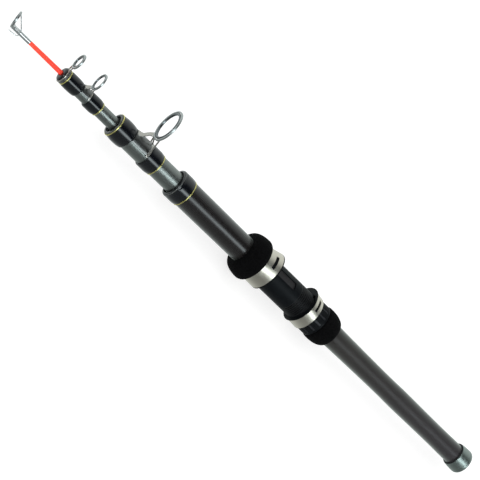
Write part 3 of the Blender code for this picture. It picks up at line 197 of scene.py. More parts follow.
class Paint:
    """One material or world and the nodes made for it."""

    def __init__(self, owner):
        owner.use_nodes = True
        self.owner = owner
        self.tree = owner.node_tree

    def node(self, kind, settings=None, sockets=None, output=0):
        made = self.tree.nodes.new(kind)
        for key, value in (settings or {}).items():
            if key == "stops":
                self.set_stops(made.color_ramp, value)
            else:
                setattr(made, key, value)
        self.feed(made, sockets or {})
        return Signal(self, made.outputs[output])

    def feed(self, node, sockets):
        for key, value in sockets.items():
            if isinstance(value, Signal):
                self.tree.links.new(value.socket, node.inputs[key])
            else:
                node.inputs[key].default_value = value

    def set_stops(self, ramp, stops):
        while len(ramp.elements) < len(stops):
            ramp.elements.new(0.5)
        for element, (place, colour) in zip(ramp.elements, stops):
            element.position = place
            element.color = (*colour, 1.0)

    def mix(self, share, first, second, blend="MIX"):
        settings = {"data_type": "RGBA", "blend_type": blend}
        return self.node("ShaderNodeMix", settings, {0: share, 6: first, 7: second}, 2)

    def place(self):
        return self.node("ShaderNodeTexCoord", None, None, "Object")

    def axes(self):
        split = self.node("ShaderNodeSeparateXYZ", None, {0: self.place()}).socket.node
        return [Signal(self, out) for out in split.outputs]

    def wound(self, pitch, starts=1.0):
        """A wave that winds round the rod, with so many starts."""
        x, y, z = self.axes()
        return (x * (2 * math.pi / pitch) + x.math("ARCTAN2", y, z) * starts).sine()

    def scaled(self, scale):
        settings = {"operation": "MULTIPLY"}
        return self.node("ShaderNodeVectorMath", settings, {0: self.place(), 1: scale})

    def noise(self, scale, detail=3.0, roughness=0.55):
        sockets = {"Vector": self.scaled(scale), "Scale": 1.0, "Detail": detail, "Roughness": roughness}
        return self.node("ShaderNodeTexNoise", None, sockets)

    def cells(self, scale):
        sockets = {"Vector": self.scaled(scale), "Scale": 1.0}
        return self.node("ShaderNodeTexVoronoi", {"feature": "F1"}, sockets, "Distance")

    def bumped(self, height, distance):
        sockets = {"Height": height, "Distance": distance, "Strength": 1.0}
        return self.node("ShaderNodeBump", None, sockets)


def paint_for(name):
    return Paint(bpy.data.materials.new(name))


def shader(paint, **values):
    """Sets the sockets of the material's own shader by name, with _ for a space."""
    base = paint.tree.nodes["Principled BSDF"]
    paint.feed(base, {key.replace("_", " "): value for key, value in values.items()})
    return paint.owner


def rgb(red, green, blue):
    return (red, green, blue, 1.0)


def laid_carbon(name, dark, light, roughness, metallic, specular, haze, plum_to=0.0):
    """Fibres laid along the rod under lacquer, with the faint helical ridges of the wrapping tape.

    The haze is a pale bloom towards the edges. A plum tint at the butt end fades out at plum_to.
    """
    paint = paint_for(name)
    fibres = paint.noise((70.0, 2600.0, 2600.0), 4.0)
    cloudy = paint.noise((55.0, 160.0, 160.0), 2.0)
    tape = paint.wound(0.0021)
    shade = ((fibres - 0.5) * 1.5 + (cloudy - 0.5) * 0.7 + 0.5).clipped()
    colour = paint.mix(shade, rgb(*dark), rgb(*light))
    if plum_to:
        x = paint.axes()[0]
        colour = paint.mix((1.0 - x / plum_to).clipped() * 0.6, colour, rgb(0.0150, 0.0095, 0.0155))
    rough = (cloudy - 0.5) * 0.10 + (fibres - 0.5) * 0.08 + roughness
    height = fibres * 0.25 + tape * 0.22
    return shader(
        paint,
        Base_Color=colour,
        Roughness=rough,
        Metallic=metallic,
        Specular_IOR_Level=specular,
        Sheen_Weight=haze,
        Sheen_Roughness=0.42,
        Sheen_Tint=rgb(0.84, 0.96, 0.90),
        Normal=paint.bumped(height, 0.000006),
    )


def whipped_thread(name, dark, light):
    """Thread laid turn by turn, under a thick clear resin that pools a little unevenly."""
    paint = paint_for(name)
    turns = paint.wound(0.00032)
    twist = paint.noise((900.0, 1400.0, 1400.0), 2.0)
    pooled = paint.noise((90.0, 130.0, 130.0), 2.0)
    shade = (turns * 0.35 + (twist - 0.5) * 0.8 + 0.5).clipped()
    return shader(
        paint,
        Base_Color=paint.mix(shade, rgb(*dark), rgb(*light)),
        Roughness=(pooled - 0.5) * 0.12 + 0.18,
        Specular_IOR_Level=0.55,
        Normal=paint.bumped(pooled * 1.0 + turns * 0.02, 0.00003),
    )


def ribbed_thread(name, dark, light):
    """A twisted cord under resin: slanting ribs, with a painted highlight on their crowns."""
    paint = paint_for(name)
    ribs = paint.wound(0.0009, 40.0)
    twist = paint.noise((900.0, 1400.0, 1400.0), 2.0)
    # Painted highlight: the colour lightens on each rib's crown.
    shade = (ribs * 0.5 + (twist - 0.5) * 0.7 + 0.5).clipped()
    return shader(
        paint,
        Base_Color=paint.mix(shade, rgb(*dark), rgb(*light)),
        Roughness=(twist - 0.5) * 0.12 + 0.30,
        Specular_IOR_Level=0.6,
        Normal=paint.bumped(ribs * 0.5, 0.00010),
    )


def metal_thread(name, dark, light):
    """A metallic thread band with a glittering grain, and a painted highlight where each turn crowns."""
    paint = paint_for(name)
    strands = paint.wound(0.0006, 60.0)
    glitter = paint.noise((2200.0, 2200.0, 2200.0), 2.0)
    # The strand wave lightens the crowns as painted highlight; the glitter noise is the thread's own grain.
    shade = (strands * 0.30 + (glitter - 0.5) * 1.2 + 0.55).clipped()
    return shader(
        paint,
        Base_Color=paint.mix(shade, rgb(*dark), rgb(*light)),
        Roughness=(glitter - 0.5) * 0.2 + 0.34,
        Metallic=0.9,
        Normal=paint.bumped(strands * 0.5, 0.00004),
    )


def cell_foam(name, dark, light):
    """Ground closed-cell foam: fine open pores and a soft nap."""
    paint = paint_for(name)
    pores = paint.cells((1500.0, 1500.0, 1500.0))
    fine = paint.noise((5200.0, 5200.0, 5200.0), 3.0, 0.7)
    broad = paint.noise((120.0, 120.0, 120.0), 2.0)
    shade = (pores * 0.9 + (fine - 0.5) * 0.6 + (broad - 0.5) * 0.4).clipped()
    return shader(
        paint,
        Base_Color=paint.mix(shade, rgb(*dark), rgb(*light)),
        Roughness=(fine - 0.5) * 0.1 + 0.93,
        Specular_IOR_Level=0.07,
        Normal=paint.bumped(pores * 0.8 + fine * 0.5, 0.00022),
    )


def moulded_plastic(name, dark, light, roughness, specular=0.25, thread_depth=0.0):
    """Moulded plastic with a fine grain and faint rub marks, with painted shade that turns a thread's roots
    black.
    """
    paint = paint_for(name)
    grain = paint.noise((3600.0, 3600.0, 3600.0), 3.0, 0.65)
    rubbed = paint.noise((60.0, 420.0, 420.0), 3.0)
    shade = ((grain - 0.5) * 0.7 + (rubbed - 0.5) * 0.9 + 0.45).clipped()
    colour = paint.mix(shade, rgb(*dark), rgb(*light))
    # Painted shade: the colour darkens to near black towards the thread's roots.
    if thread_depth:
        y, z = paint.axes()[1:]
        height = ((y * y + z * z) ** 0.5 - (SEAT_RADIUS - thread_depth)) / thread_depth
        colour = paint.mix((height * 1.6 - 0.6).clipped(), rgb(0.001, 0.001, 0.0012), colour)
    return shader(
        paint,
        Base_Color=colour,
        Roughness=(rubbed - 0.5) * 0.22 + (grain - 0.5) * 0.1 + roughness,
        Specular_IOR_Level=specular,
        Normal=paint.bumped(grain, 0.000035),
    )


def turned_metal(name, dark, light, roughness, lines=3500.0, depth=0.000003):
    """Metal with the fine rings that turning and polishing leave, and light handling marks."""
    paint = paint_for(name)
    rings = paint.noise((lines, 25.0, 25.0), 3.0, 0.6)
    handled = paint.noise((150.0, 150.0, 150.0), 4.0, 0.6)
    shade = ((rings - 0.5) * 0.8 + (handled - 0.5) * 0.7 + 0.5).clipped()
    return shader(
        paint,
        Base_Color=paint.mix(shade, rgb(*dark), rgb(*light)),
        Roughness=(rings - 0.5) * 0.08 + (handled - 0.5) * 0.10 + roughness,
        Metallic=1.0,
        Normal=paint.bumped(rings, depth),
    )


def lacquered_red(name):
    """The solid tip: red glass fibre under lacquer, deeper towards its root."""
    paint = paint_for(name)
    x = paint.axes()[0]
    streaks = paint.noise((120.0, 3000.0, 3000.0), 3.0)
    along = ((x - NOSE_FRONT) / (FERRULE_BACK - NOSE_FRONT)).clipped()
    body = paint.mix(along, rgb(0.96, 0.030, 0.013), rgb(1.0, 0.055, 0.024))
    colour = paint.mix((streaks - 0.5) * 0.9 + 0.35, body, rgb(1.0, 0.095, 0.045))
    return shader(
        paint,
        Base_Color=colour,
        Roughness=(streaks - 0.5) * 0.15 + 0.36,
        Normal=paint.bumped(streaks, 0.000004),
    )


def soft_rubber(name):
    paint = paint_for(name)
    grain = paint.noise((2500.0, 2500.0, 2500.0), 3.0)
    return shader(
        paint,
        Base_Color=paint.mix(grain, rgb(0.006, 0.006, 0.007), rgb(0.020, 0.020, 0.021)),
        Roughness=(grain - 0.5) * 0.15 + 0.82,
        Specular_IOR_Level=0.25,
        Normal=paint.bumped(grain, 0.00005),
    )


# The finishes, most with a dark and a light colour that the texture mixes
CARBON_GREY = laid_carbon("carbon_grey", (0.170, 0.185, 0.176), (0.228, 0.246, 0.236), 0.37, 0.95, 0.5, 0.10)
CARBON_DARK = laid_carbon(
    "carbon_dark", (0.0034, 0.0021, 0.0024), (0.0074, 0.0052, 0.0056), 0.26, 0.0, 0.5, 0.36
)
HANDLE_BROWN = laid_carbon(
    "handle_brown", (0.0070, 0.0040, 0.0036), (0.0140, 0.0092, 0.0084), 0.48, 0.0, 0.30, 0.95, 0.16
)
WRAP_BLACK = whipped_thread("wrap_black", (0.0012, 0.0016, 0.0026), (0.0038, 0.0050, 0.0078))
RIBS_PAINTED_HIGHLIGHT = ribbed_thread("wrap_ribs_painted_highlight", (0.006, 0.007, 0.007), (0.110, 0.118, 0.112))
GOLD = metal_thread("gold", (0.28, 0.24, 0.06), (0.95, 0.90, 0.40))
FOAM = cell_foam("foam", (0.0006, 0.0006, 0.0007), (0.0028, 0.0026, 0.0029))
SEAT_BLACK = moulded_plastic("seat_black", (0.0012, 0.0018, 0.0026), (0.0040, 0.0052, 0.0066), 0.50, 0.10)
CHANNEL_GREY = moulded_plastic("channel_grey", (0.014, 0.0135, 0.0145), (0.025, 0.024, 0.0255), 0.60)
NUT_BLACK = moulded_plastic("nut_black", (0.0012, 0.0016, 0.0022), (0.0040, 0.0048, 0.0060), 0.50, 0.10)
NUT_GREY = moulded_plastic("nut_grey", (0.0120, 0.0130, 0.0155), (0.0260, 0.0280, 0.0320), 0.50)
# Painted light on the seat's thread: crests lighter than the seat body as painted highlight, roots black as
# painted shade.
SEAT_THREAD = moulded_plastic(
    "seat_thread_painted_light", (0.0045, 0.0052, 0.0060), (0.0095, 0.0110, 0.0125), 0.46, 0.18, SEAT_THREAD_DEPTH
)
STEEL = turned_metal("steel", (0.53, 0.49, 0.42), (0.68, 0.64, 0.56), 0.36)
GUIDE_STEEL = turned_metal("guide_steel", (0.330, 0.346, 0.346), (0.480, 0.498, 0.496), 0.38, 1800.0)
STRAP_STEEL = turned_metal("strap_steel", (0.36, 0.34, 0.31), (0.52, 0.50, 0.47), 0.38, 1800.0)
TIP_STEEL = turned_metal("tip_steel", (0.60, 0.62, 0.63), (0.78, 0.80, 0.80), 0.24, 1200.0, 0.000002)
FOOT_STEEL = turned_metal("foot_steel", (0.115, 0.116, 0.114), (0.190, 0.193, 0.190), 0.30, 1200.0, 0.000002)
INSERT_GREY = turned_metal("insert_grey", (0.11, 0.12, 0.126), (0.19, 0.204, 0.21), 0.26, 1800.0, 0.000002)
CAP_METAL = turned_metal("cap_metal", (0.205, 0.242, 0.228), (0.300, 0.342, 0.324), 0.40, 1500.0)
TIP_RED = lacquered_red("tip_red")
RUBBER = soft_rubber("rubber")


def eased(corners, size, steps=3, closed=True):
    """The corners (x, radius[, own size]) with each one rounded off."""
    points = []
    count = len(corners)
    for i, corner in enumerate(corners):
        here = Vector(corner[:2])
        reach = corner[2] if len(corner) > 2 else size
        at_end = not closed and i in (0, count - 1)
        if reach == 0 or at_end:
            points.append(here)
            continue
        before = Vector(corners[i - 1][:2]) - here
        after = Vector(corners[(i + 1) % count][:2]) - here
        start = here + before.normalized() * min(reach, before.length * 0.46)
        end = here + after.normalized() * min(reach, after.length * 0.46)
        for k in range(steps + 1):
            t = k / steps
            points.append(start * (1 - t) ** 2 + here * (2 * t * (1 - t)) + end * t * t)
    return points


def bow(start, end, steps, radial_first=True):
    """A quarter ellipse from one (x, radius) to another."""
    points = []
    for i in range(steps + 1):
        angle = math.pi / 2 * i / steps
        quick = math.sin(angle)
        late = 1 - math.cos(angle)
        along, out = (late, quick) if radial_first else (quick, late)
        points.append((start[0] + (end[0] - start[0]) * along, start[1] + (end[1] - start[1]) * out, 0))
    return points


def flow(points, steps=5):
    """A smooth line through (x, radius) points."""
    places = [Vector(p[:2]) for p in points]
    places = [places[0] * 2 - places[1], *places, places[-1] * 2 - places[-2]]
    line = []
    for a, b, c, d in zip(places, places[1:], places[2:], places[3:]):
        for k in range(steps):
            t = k / steps
            bend = b * 2 + (c - a) * t + (a * 2 - b * 5 + c * 4 - d) * t * t
            bend = bend + (b * 3 - a - c * 3 + d) * t**3
            line.append((bend.x / 2, bend.y / 2, 0))
    line.append((places[-2].x, places[-2].y, 0))
    return line


def beside(x, radius, offsets):
    """Points given by their offsets (along, outward[, own size]) from one place."""
    return [(x + offset[0], radius + offset[1], *offset[2:]) for offset in offsets]


def mesh_from(name, verts, faces):
    mesh = bpy.data.meshes.new(name)
    mesh.from_pydata([tuple(v) for v in verts], [], faces)
    edit = bmesh.new()
    edit.from_mesh(mesh)
    bmesh.ops.recalc_face_normals(edit, faces=edit.faces)
    edit.to_mesh(mesh)
    edit.free()
    return mesh


def round_place(x, radius, angle):
    return (x, radius * math.sin(angle), radius * math.cos(angle))


def revolve(name, profile, steps=ROUND, closed=True, place=round_place):
    """The profile turned about the rod. An open profile starts and ends on the axis."""
    verts = []
    rows = []
    for point in profile:
        x, radius = point[0], point[1]
        if radius < 0.0000005 and not closed:
            rows.append([len(verts)] * steps)
            verts.append(place(x, 0.0, 0.0))
            continue
        rows.append(list(range(len(verts), len(verts) + steps)))
        verts += [place(x, radius, 2 * math.pi * i / steps) for i in range(steps)]
    pairs = list(zip(rows, rows[1:]))
    if closed:
        pairs.append((rows[-1], rows[0]))
    faces = []
    for near, far in pairs:
        for i in range(steps):
            j = (i + 1) % steps
            face = list(dict.fromkeys([near[i], near[j], far[j], far[i]]))
            if len(face) > 2:
                faces.append(face)
    return mesh_from(name, verts, faces)


def evaluated(obj):
    graph = bpy.context.evaluated_depsgraph_get()
    return bpy.data.meshes.new_from_object(obj.evaluated_get(graph), depsgraph=graph)


def loose(name, data):
    obj = bpy.data.objects.new(name, data)
    bpy.context.scene.collection.objects.link(obj)
    return obj


def drop(*objects):
    for obj in objects:
        bpy.data.objects.remove(obj, do_unlink=True)


def carved(mesh, *others):
    """The mesh with the others taken away from it."""
    body = loose("body", mesh)
    cutters = []
    for other in others:
        cutter = loose("cutter", other)
        change = body.modifiers.new("carve", "BOOLEAN")
        change.operation = "DIFFERENCE"
        change.solver = "EXACT"
        change.object = cutter
        cutters.append(cutter)
    bpy.context.view_layer.update()
    made = evaluated(body)
    drop(body, *cutters)
    return made


def joined(name, meshes):
    edit = bmesh.new()
    for mesh in meshes:
        edit.from_mesh(mesh)
    made = bpy.data.meshes.new(name)
    edit.to_mesh(made)
    edit.free()
    return made


def fused(name, meshes, grain, relax=6):
    """Overlapping solids melted into one skin, with soft fillets where they meet as a weld has."""
    obj = loose(name, joined(name, meshes))
    remesh = obj.modifiers.new("melt", "REMESH")
    remesh.mode = "VOXEL"
    remesh.voxel_size = grain
    calm = obj.modifiers.new("calm", "SMOOTH")
    calm.factor = 0.5
    calm.iterations = relax
    bpy.context.view_layer.update()
    made = evaluated(obj)
    drop(obj)
    return made


def skin(rows, wide):
    """Faces over rows of points that each close on themselves, with both ends filled."""
    end = (rows - 1) * wide
    faces = [list(range(wide)), list(range(end, end + wide))]
    for start in range(0, end, wide):
        for k in range(wide):
            j = (k + 1) % wide
            faces.append([start + k, start + j, start + wide + j, start + wide + k])
    return faces


def prism(name, outline, low, high):
    """A flat outline (x, y) raised from z low to z high."""
    verts = [(x, y, z) for z in (low, high) for x, y in outline]
    return mesh_from(name, verts, skin(2, len(outline)))


def round_box(x0, x1, half, corner, steps=5):
    """Outline of a box in x and y with rounded corners."""
    points = []
    centres = [(x1 - corner, half - corner), (x0 + corner, half - corner)]
    centres += [(x0 + corner, corner - half), (x1 - corner, corner - half)]
    for quadrant, (cx, cy) in enumerate(centres):
        for k in range(steps + 1):
            angle = math.pi / 2 * (quadrant + k / steps)
            points.append((cx + corner * math.cos(angle), cy + corner * math.sin(angle)))
    return points


def headings(places):
    """The direction of a line at each of its points."""
    last = len(places) - 1
    return [(places[min(i + 1, last)] - places[max(i - 1, 0)]).normalized() for i in range(last + 1)]


def wire(points, radius, sides=12):
    """A round wire through the points."""
    places = [Vector(p) for p in points]
    verts = []
    across = None
    for place, along in zip(places, headings(places)):
        if across is None:
            across = along.orthogonal().normalized()
        across = (across - along * across.dot(along)).normalized()
        other = along.cross(across)
        for k in range(sides):
            angle = 2 * math.pi * k / sides
            verts.append(place + (across * math.cos(angle) + other * math.sin(angle)) * radius)
    return mesh_from("wire", verts, skin(len(places), sides))


def strap(line, thickness, widths):
    """A flat strap along (x, z) points, with its own width at each."""
    places = [Vector(p) for p in line]
    verts = []
    for place, along, width in zip(places, headings(places), widths):
        side = Vector((-along.y, along.x)) * thickness / 2
        half = width / 2
        for offset, y in ((side, half), (side, -half), (-side, -half), (-side, half)):
            spot = place + offset
            verts.append((spot.x, y, spot.y))
    return mesh_from("strap", verts, skin(len(places), 4))


def slab(name, top, bottom):
    """A closed solid between two grids of points."""
    deep = len(top)
    wide = len(top[0])
    under = deep * wide
    faces = []
    for i in range(deep - 1):
        for j in range(wide - 1):
            a = i * wide + j
            quad = [a, a + 1, a + wide + 1, a + wide]
            faces += [quad, [under + v for v in quad]]
    edge = list(range(wide - 1)) + [i * wide + wide - 1 for i in range(deep - 1)]
    edge += [under - 1 - j for j in range(wide - 1)] + [(deep - 1 - i) * wide for i in range(deep - 1)]
    faces += [[a, b, under + b, under + a] for a, b in zip(edge, edge[1:] + edge[:1])]
    return mesh_from(name, [point for row in top + bottom for point in row], faces)


def arc_band(inner, outer, start, end, half_angle, corner=0.0, steps=24):
    """Part of a ring round the rod, as far as half_angle each side of the guide."""
    stations = [(start, half_angle)]
    if corner:
        stations = []
        for k in range(7):
            turn = math.pi / 2 * k / 6
            cut = corner / outer * (1 - math.sin(turn))
            stations.append((start + corner * (1 - math.cos(turn)), half_angle - cut))
    stations.append((end, half_angle))
    skins = []
    for radius in (outer, inner):
        shares = [2 * i / steps - 1 for i in range(steps + 1)]
        skins.append([[round_place(x, radius, half * share) for share in shares] for x, half in stations])
    return slab("arc_band", *skins)


def fit_piece(name, mesh, body, finish, slot, *nodes):
    """One shown piece: it rides on its body and stands for the nodes."""
    mesh.name = name
    mesh.materials.clear()
    mesh.materials.append(finish)
    mesh.shade_smooth()
    mesh.set_sharp_from_angle(angle=SHARP)
    obj = loose(name, mesh)
    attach(obj, body)
    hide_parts(*nodes)
    return obj


def recolour(obj, finish, chosen):
    """Gives the faces whose centres are chosen another finish."""
    obj.data.materials.append(finish)
    for face in obj.data.polygons:
        if chosen(face.center):
            face.material_index = len(obj.data.materials) - 1


def turned_piece(node, profile, body, finish, slot, steps=ROUND, closed=True, place=round_place):
    mesh = revolve(node, profile, steps, closed, place)
    return fit_piece("fine_" + node, mesh, body, finish, slot, node)


def threaded(radius, start, end, pitch, depth, runout=0.001):
    """A placing that cuts the thread's rings into the outer skin between two stations."""

    def place(x, own_radius, angle):
        if own_radius > radius - 0.00005 and start <= x <= end:
            turn = 2 * math.pi * x / pitch
            fade = min(1.0, (x - start) / runout, (end - x) / runout)
            own_radius -= depth * (0.5 - 0.5 * math.cos(turn)) * max(0.0, fade)
        return round_place(x, own_radius, angle)

    return place


def run(x0, x1, radius, step):
    """Stations from x0 to x1 at one radius, close enough for a thread."""
    count = max(2, int(abs(x1 - x0) / step))
    return [(x0 + (x1 - x0) * i / count, radius, 0) for i in range(count + 1)]


def cap_and_seal():
    inner = 0.0105
    hollow = [(0.0, 0.0060, 0), (0.00025, 0.0064, 0.0002), (0.00025, 0.0090, 0.0002), (0.0, 0.0094, 0)]
    profile = [(0.0, 0.0), *eased(hollow, 0.0, 2, False)]
    rim = 0.0115
    groove = 0.01135
    profile += bow((0.0, 0.0097), (0.0029, rim), 9)
    skirt = [
        (0.0029, rim, 0),
        (0.0034, rim, 0.0001),
        (0.0036, groove, 0.0001),
        (0.0039, groove, 0.0001),
        (0.0041, rim, 0.0001),
        (0.0085, groove, 0.002),
        (CAP_FRONT, 0.0109, 0.00035),
        (CAP_FRONT, inner, 0.0001),
        (0.0022, inner, 0.0004),
        (0.0022, 0.0),
    ]
    profile += eased(skirt, 0.0002, 3, False)
    turned_piece("butt_cap", profile, "butt_cap", CAP_METAL, "cap_metal", closed=False)
    pad = eased([(0.0045, 0.0), (0.0045, 0.0102), (0.0025, 0.0102), (0.0025, 0.0)], 0.0004, 3, False)
    turned_piece("cap_pad", pad, "cap_pad", RUBBER, "rubber", MEDIUM_ROUND, False)
    root = 0.0096
    crest = 0.0102
    end = TUBE_END + 0.0085
    outer = run(end, TUBE_END, crest, 0.00012)
    profile = [*outer, (TUBE_END, root), (end, root)]
    place = threaded(crest, TUBE_END, end, 0.0015, 0.0004)
    turned_piece("butt_thread_ring", profile, "butt", CAP_METAL, "cap_metal", MEDIUM_ROUND, True, place)
    back = CAP_FRONT + FIT
    front = back + 0.0009
    seal = [(front, 0.01014), (back + 0.00054, inner), (back, inner), (back, root), (front, root)]
    turned_piece("cap_seal", eased(seal, 0.00015), "butt", RUBBER, "rubber")


def handle_and_grips():
    length = GRIP_BACK - TUBE_END
    front = SECTION_3_BACK - FIT
    shoulder = BLANK_BACK - FIT
    spigot = BUTT_BORE - FIT
    outline = [(TUBE_END + length * share, radius) for share, radius in HANDLE_LINE]
    profile = [(front, HANDLE_BORE), (front, spigot), (shoulder, spigot), (shoulder, HANDLE_FRONT)]
    profile += flow(outline) + [(TUBE_END, HANDLE_BORE)]
    turned_piece("handle_tube", profile, "butt", HANDLE_BROWN, "handle_brown")
    bore = BUTT_REAR + FIT
    tail_bore = HANDLE_FRONT + FIT
    step = shoulder - FIT
    full = 0.0157
    profile = bow((GRIP_FRONT, 0.0135), (GRIP_FRONT - 0.0022, full), 6)
    profile += bow((GRIP_BACK + 0.0130, full), (GRIP_BACK, tail_bore + 0.0006), 14, False)
    profile += [(GRIP_BACK, tail_bore), (step, tail_bore), (step, bore), (GRIP_FRONT, bore)]
    grip = turned_piece("rear_grip", profile, "butt", FOAM, "foam")
    full = 0.0200
    bore = 0.01168
    profile = bow((FORE_FRONT, 0.0150), (FORE_FRONT - 0.0125, full), 14)
    profile += bow((FORE_BACK + 0.0043, full), (FORE_BACK, 0.0170), 10, False)
    profile += [(FORE_BACK, bore), (FORE_FRONT, bore)]
    grip = turned_piece("fore_grip", profile, "butt", FOAM, "foam")


def reel_seat():
    profile = run(SEAT_FRONT, THREAD_FRONT, SEAT_RADIUS, 0.002)
    profile += run(THREAD_FRONT, NUT_BACK, SEAT_RADIUS, 0.00012)[1:]
    profile += [(NUT_BACK, SEAT_BORE), (SEAT_FRONT, SEAT_BORE)]
    place = threaded(SEAT_RADIUS, NUT_BACK - 0.002, THREAD_FRONT, SEAT_PITCH, SEAT_THREAD_DEPTH)
    tube = revolve("seat", profile, ROUND, True, place)
    floor = SEAT_RADIUS - 0.0015
    channel_front = SEAT_FRONT - 0.0026 - FIT
    channel = prism("channel", round_box(CHANNEL_BACK, channel_front, 0.0033, 0.0015), floor, 0.02)
    key = round_box(NUT_BACK - 0.01, NUT_BACK + 0.0460, 0.0015, 0.0012)
    keyway = prism("keyway", key, -0.02, 0.001 - SEAT_RADIUS)
    tube = carved(tube, channel, keyway)
    seat = fit_piece("fine_seat_body", tube, "butt", SEAT_BLACK, "seat_black", "seat_body")
    recolour(seat, CHANNEL_GREY, lambda spot: spot.x > CHANNEL_BACK and abs(spot.z - floor) < 0.00005)
    # The thread faces take the lighter crest finish as painted highlight; that finish paints the roots black
    # as shade.
    recolour(seat, SEAT_THREAD, lambda spot: spot.x < THREAD_FRONT and spot.yz.length > SEAT_RADIUS - 0.0009)


def hood_place(back, mouth):
    """Places a point of a hood: share of the length, offset from the outer skin, angle."""
    length = mouth[0] - back[0]

    def place(along, offset, angle):
        share = along / length
        radius = back[1] + (mouth[1] - back[1]) * share + offset
        rise = back[2] + (mouth[2] - back[2]) * share
        rake = (back[3] + (mouth[3] - back[3]) * share) if share <= 1 else mouth[3]
        height = rise + radius * math.cos(angle)
        return (back[0] + along - height * rake, radius * math.sin(angle), height)

    return place


def hood_shell(node, body, back, mouth, slot_along, wall=0.0008):
    length = mouth[0] - back[0]
    place = hood_place(back, mouth)
    outline = [(length, 0.0), (0.0, 0.0), (0.0, -wall), (length, -wall)]
    corners = eased(outline, 0.00022, 3)
    profile = []
    for near, far in zip(corners, corners[1:] + corners[:1]):
        near, far = Vector(near[:2]), Vector(far[:2])
        count = max(1, int((far - near).length / 0.0008))
        profile += [near + (far - near) * k / count for k in range(count)]
    shell = revolve(node, profile, 2 * ROUND, True, place)
    points = []
    for i in range(25):
        angle = math.radians(21) * (i / 12 - 1)
        points.append(place(slot_along, -wall / 2, angle))
    shell = carved(shell, wire(points, 0.00140, 16))
    return fit_piece("fine_" + node, shell, body, STEEL, "steel", node)


def hoods():
    steel_back = (HOOD_BACK, 0.0159, 0.0, 0.0)
    steel_mouth = (HOOD_BACK + 0.0106, 0.0163, 0.0015, 0.09)
    hood_shell("moving_hood", "moving_hood", steel_back, steel_mouth, 0.0054)
    fixed_mouth = (FIXED_MOUTH, 0.0179, 0.0026, 0.0)
    fixed_front = (SEAT_FRONT, 0.0164, 0.0004, 0.0)
    hood_shell("fixed_hood", "butt", fixed_mouth, fixed_front, 0.0052)


def lock_nut():
    rim = 0.0149
    ground = 0.0143
    bore = SEAT_RADIUS + FIT
    step = NUT_BACK + 0.0015
    outline = [(NUT_FRONT, ground), (step, ground), (step, rim)]
    outline += [(NUT_BACK, rim), (NUT_BACK, bore), (NUT_FRONT, bore)]
    meshes = [revolve("nut_ring", eased(outline, 0.0002, 2), 2 * MEDIUM_ROUND)]
    blocks = 14
    half = math.pi / blocks - 0.00085 / rim
    for block in range(blocks):
        middle = 2 * math.pi * block / blocks
        meshes.append(checkered_block(step - 0.0001, NUT_FRONT, ground - 0.0002, rim, middle, half))
    mesh = joined("nut", meshes)
    nut = fit_piece("fine_lock_nut", mesh, "lock_nut", NUT_BLACK, "seat_black", "lock_nut")
    recolour(nut, NUT_GREY, lambda spot: bore + 0.0002 < spot.yz.length < ground + 0.0002)


def checkered_block(x0, x1, low, high, middle, half, along=7, across=6, groove=0.00018):
    """A raised block whose top is cut into small squares."""

    def cuts(count):
        edges = ((0.02, 0), (0.18, 1), (0.82, 1), (0.98, 0))
        return [(i + share, raised) for i in range(count) for share, raised in edges]

    top = []
    bottom = []
    for i, up_i in cuts(along):
        x = x0 + (x1 - x0) * i / along
        turns = [(middle + half * (2 * j / across - 1), up_i and up_j) for j, up_j in cuts(across)]
        top.append([round_place(x, high if raised else high - groove, turn) for turn, raised in turns])
        bottom.append([round_place(x, low, turn) for turn, raised in turns])
    return slab("block", top, bottom)


def gold_ring(node, inner, x, body, rise=0.0004):
    """Three turns of metallic thread side by side."""
    turns = 3
    bead = 0.0002
    root = inner + rise - bead
    profile = [(x + BAND_WIDTH, inner), (x + BAND_WIDTH, root)]
    for i in range(turns):
        right = x + BAND_WIDTH * (1 - i / turns)
        for k in range(1, 6):
            angle = math.pi * k / 6
            across = BAND_WIDTH / turns * (1 - math.cos(angle)) / 2
            profile.append((right - across, root + bead * math.sin(angle)))
    profile += [(x, root), (x, inner)]
    turned_piece(node, profile, body, GOLD, "gold")


def butt_section():
    front = BUTT_MOUTH - LIP - FIT
    throat = BUTT_BAND - 0.004
    opening = BUTT_TIP - LIP
    profile = [
        (front, BUTT_TIP, 0),
        (BUTT_BAND, BUTT_TIP, 0.01),
        (FORE_FRONT, BUTT_REAR, 0.01),
        (BLANK_BACK, BUTT_REAR, 0),
        (BLANK_BACK, BUTT_BORE, 0),
        (throat - 0.003, BUTT_BORE, 0),
        (throat, SECTION_3_REAR + FIT, 0),
        (front - 0.004, SECTION_3_REAR + FIT, 0),
        (front, opening, 0),
    ]
    turned_piece("butt_blank", eased(profile, 0.0), "butt", CARBON_DARK, "carbon_dark")
    inner = BUTT_TIP + FIT
    outer = inner + 0.00067
    crown = [(BUTT_BAND + BAND_SPACE, inner + 0.0004)]
    crown += beside(BUTT_BAND, outer, [(0.0030, 0.0), (0.0060, 0.0001)])
    crown += beside(BUTT_MOUTH, outer, [(-0.0026, 0.0)])
    lip = beside(BUTT_MOUTH, outer, [(-0.0026, 0.0, 0), (-0.0021, 0.00012), (-0.0014, 0.00005)])
    lip += beside(BUTT_MOUTH, outer, [(-0.0004, -0.0004)])
    lip += beside(BUTT_MOUTH, opening, [(0.0, 0.0004), (0.0, 0.0), (-LIP, 0.0)])
    profile = flow(crown, 4) + eased(lip, 0.0005, 4, False)
    profile += [(BUTT_MOUTH - LIP, inner), (BUTT_BAND + BAND_SPACE, inner)]
    wrap = turned_piece("butt_mouth_wrap", profile, "butt", WRAP_BLACK, "wrap_black")
    # Painted highlight: a light ring just behind the mouth stands for the lip's edge highlight.
    recolour(wrap, RIBS_PAINTED_HIGHLIGHT, lambda spot: 0.0006 < BUTT_MOUTH - spot.x < 0.0014 and spot.yz.length > inner)
    gold_ring("butt_mouth_band", inner, BUTT_BAND, "butt")


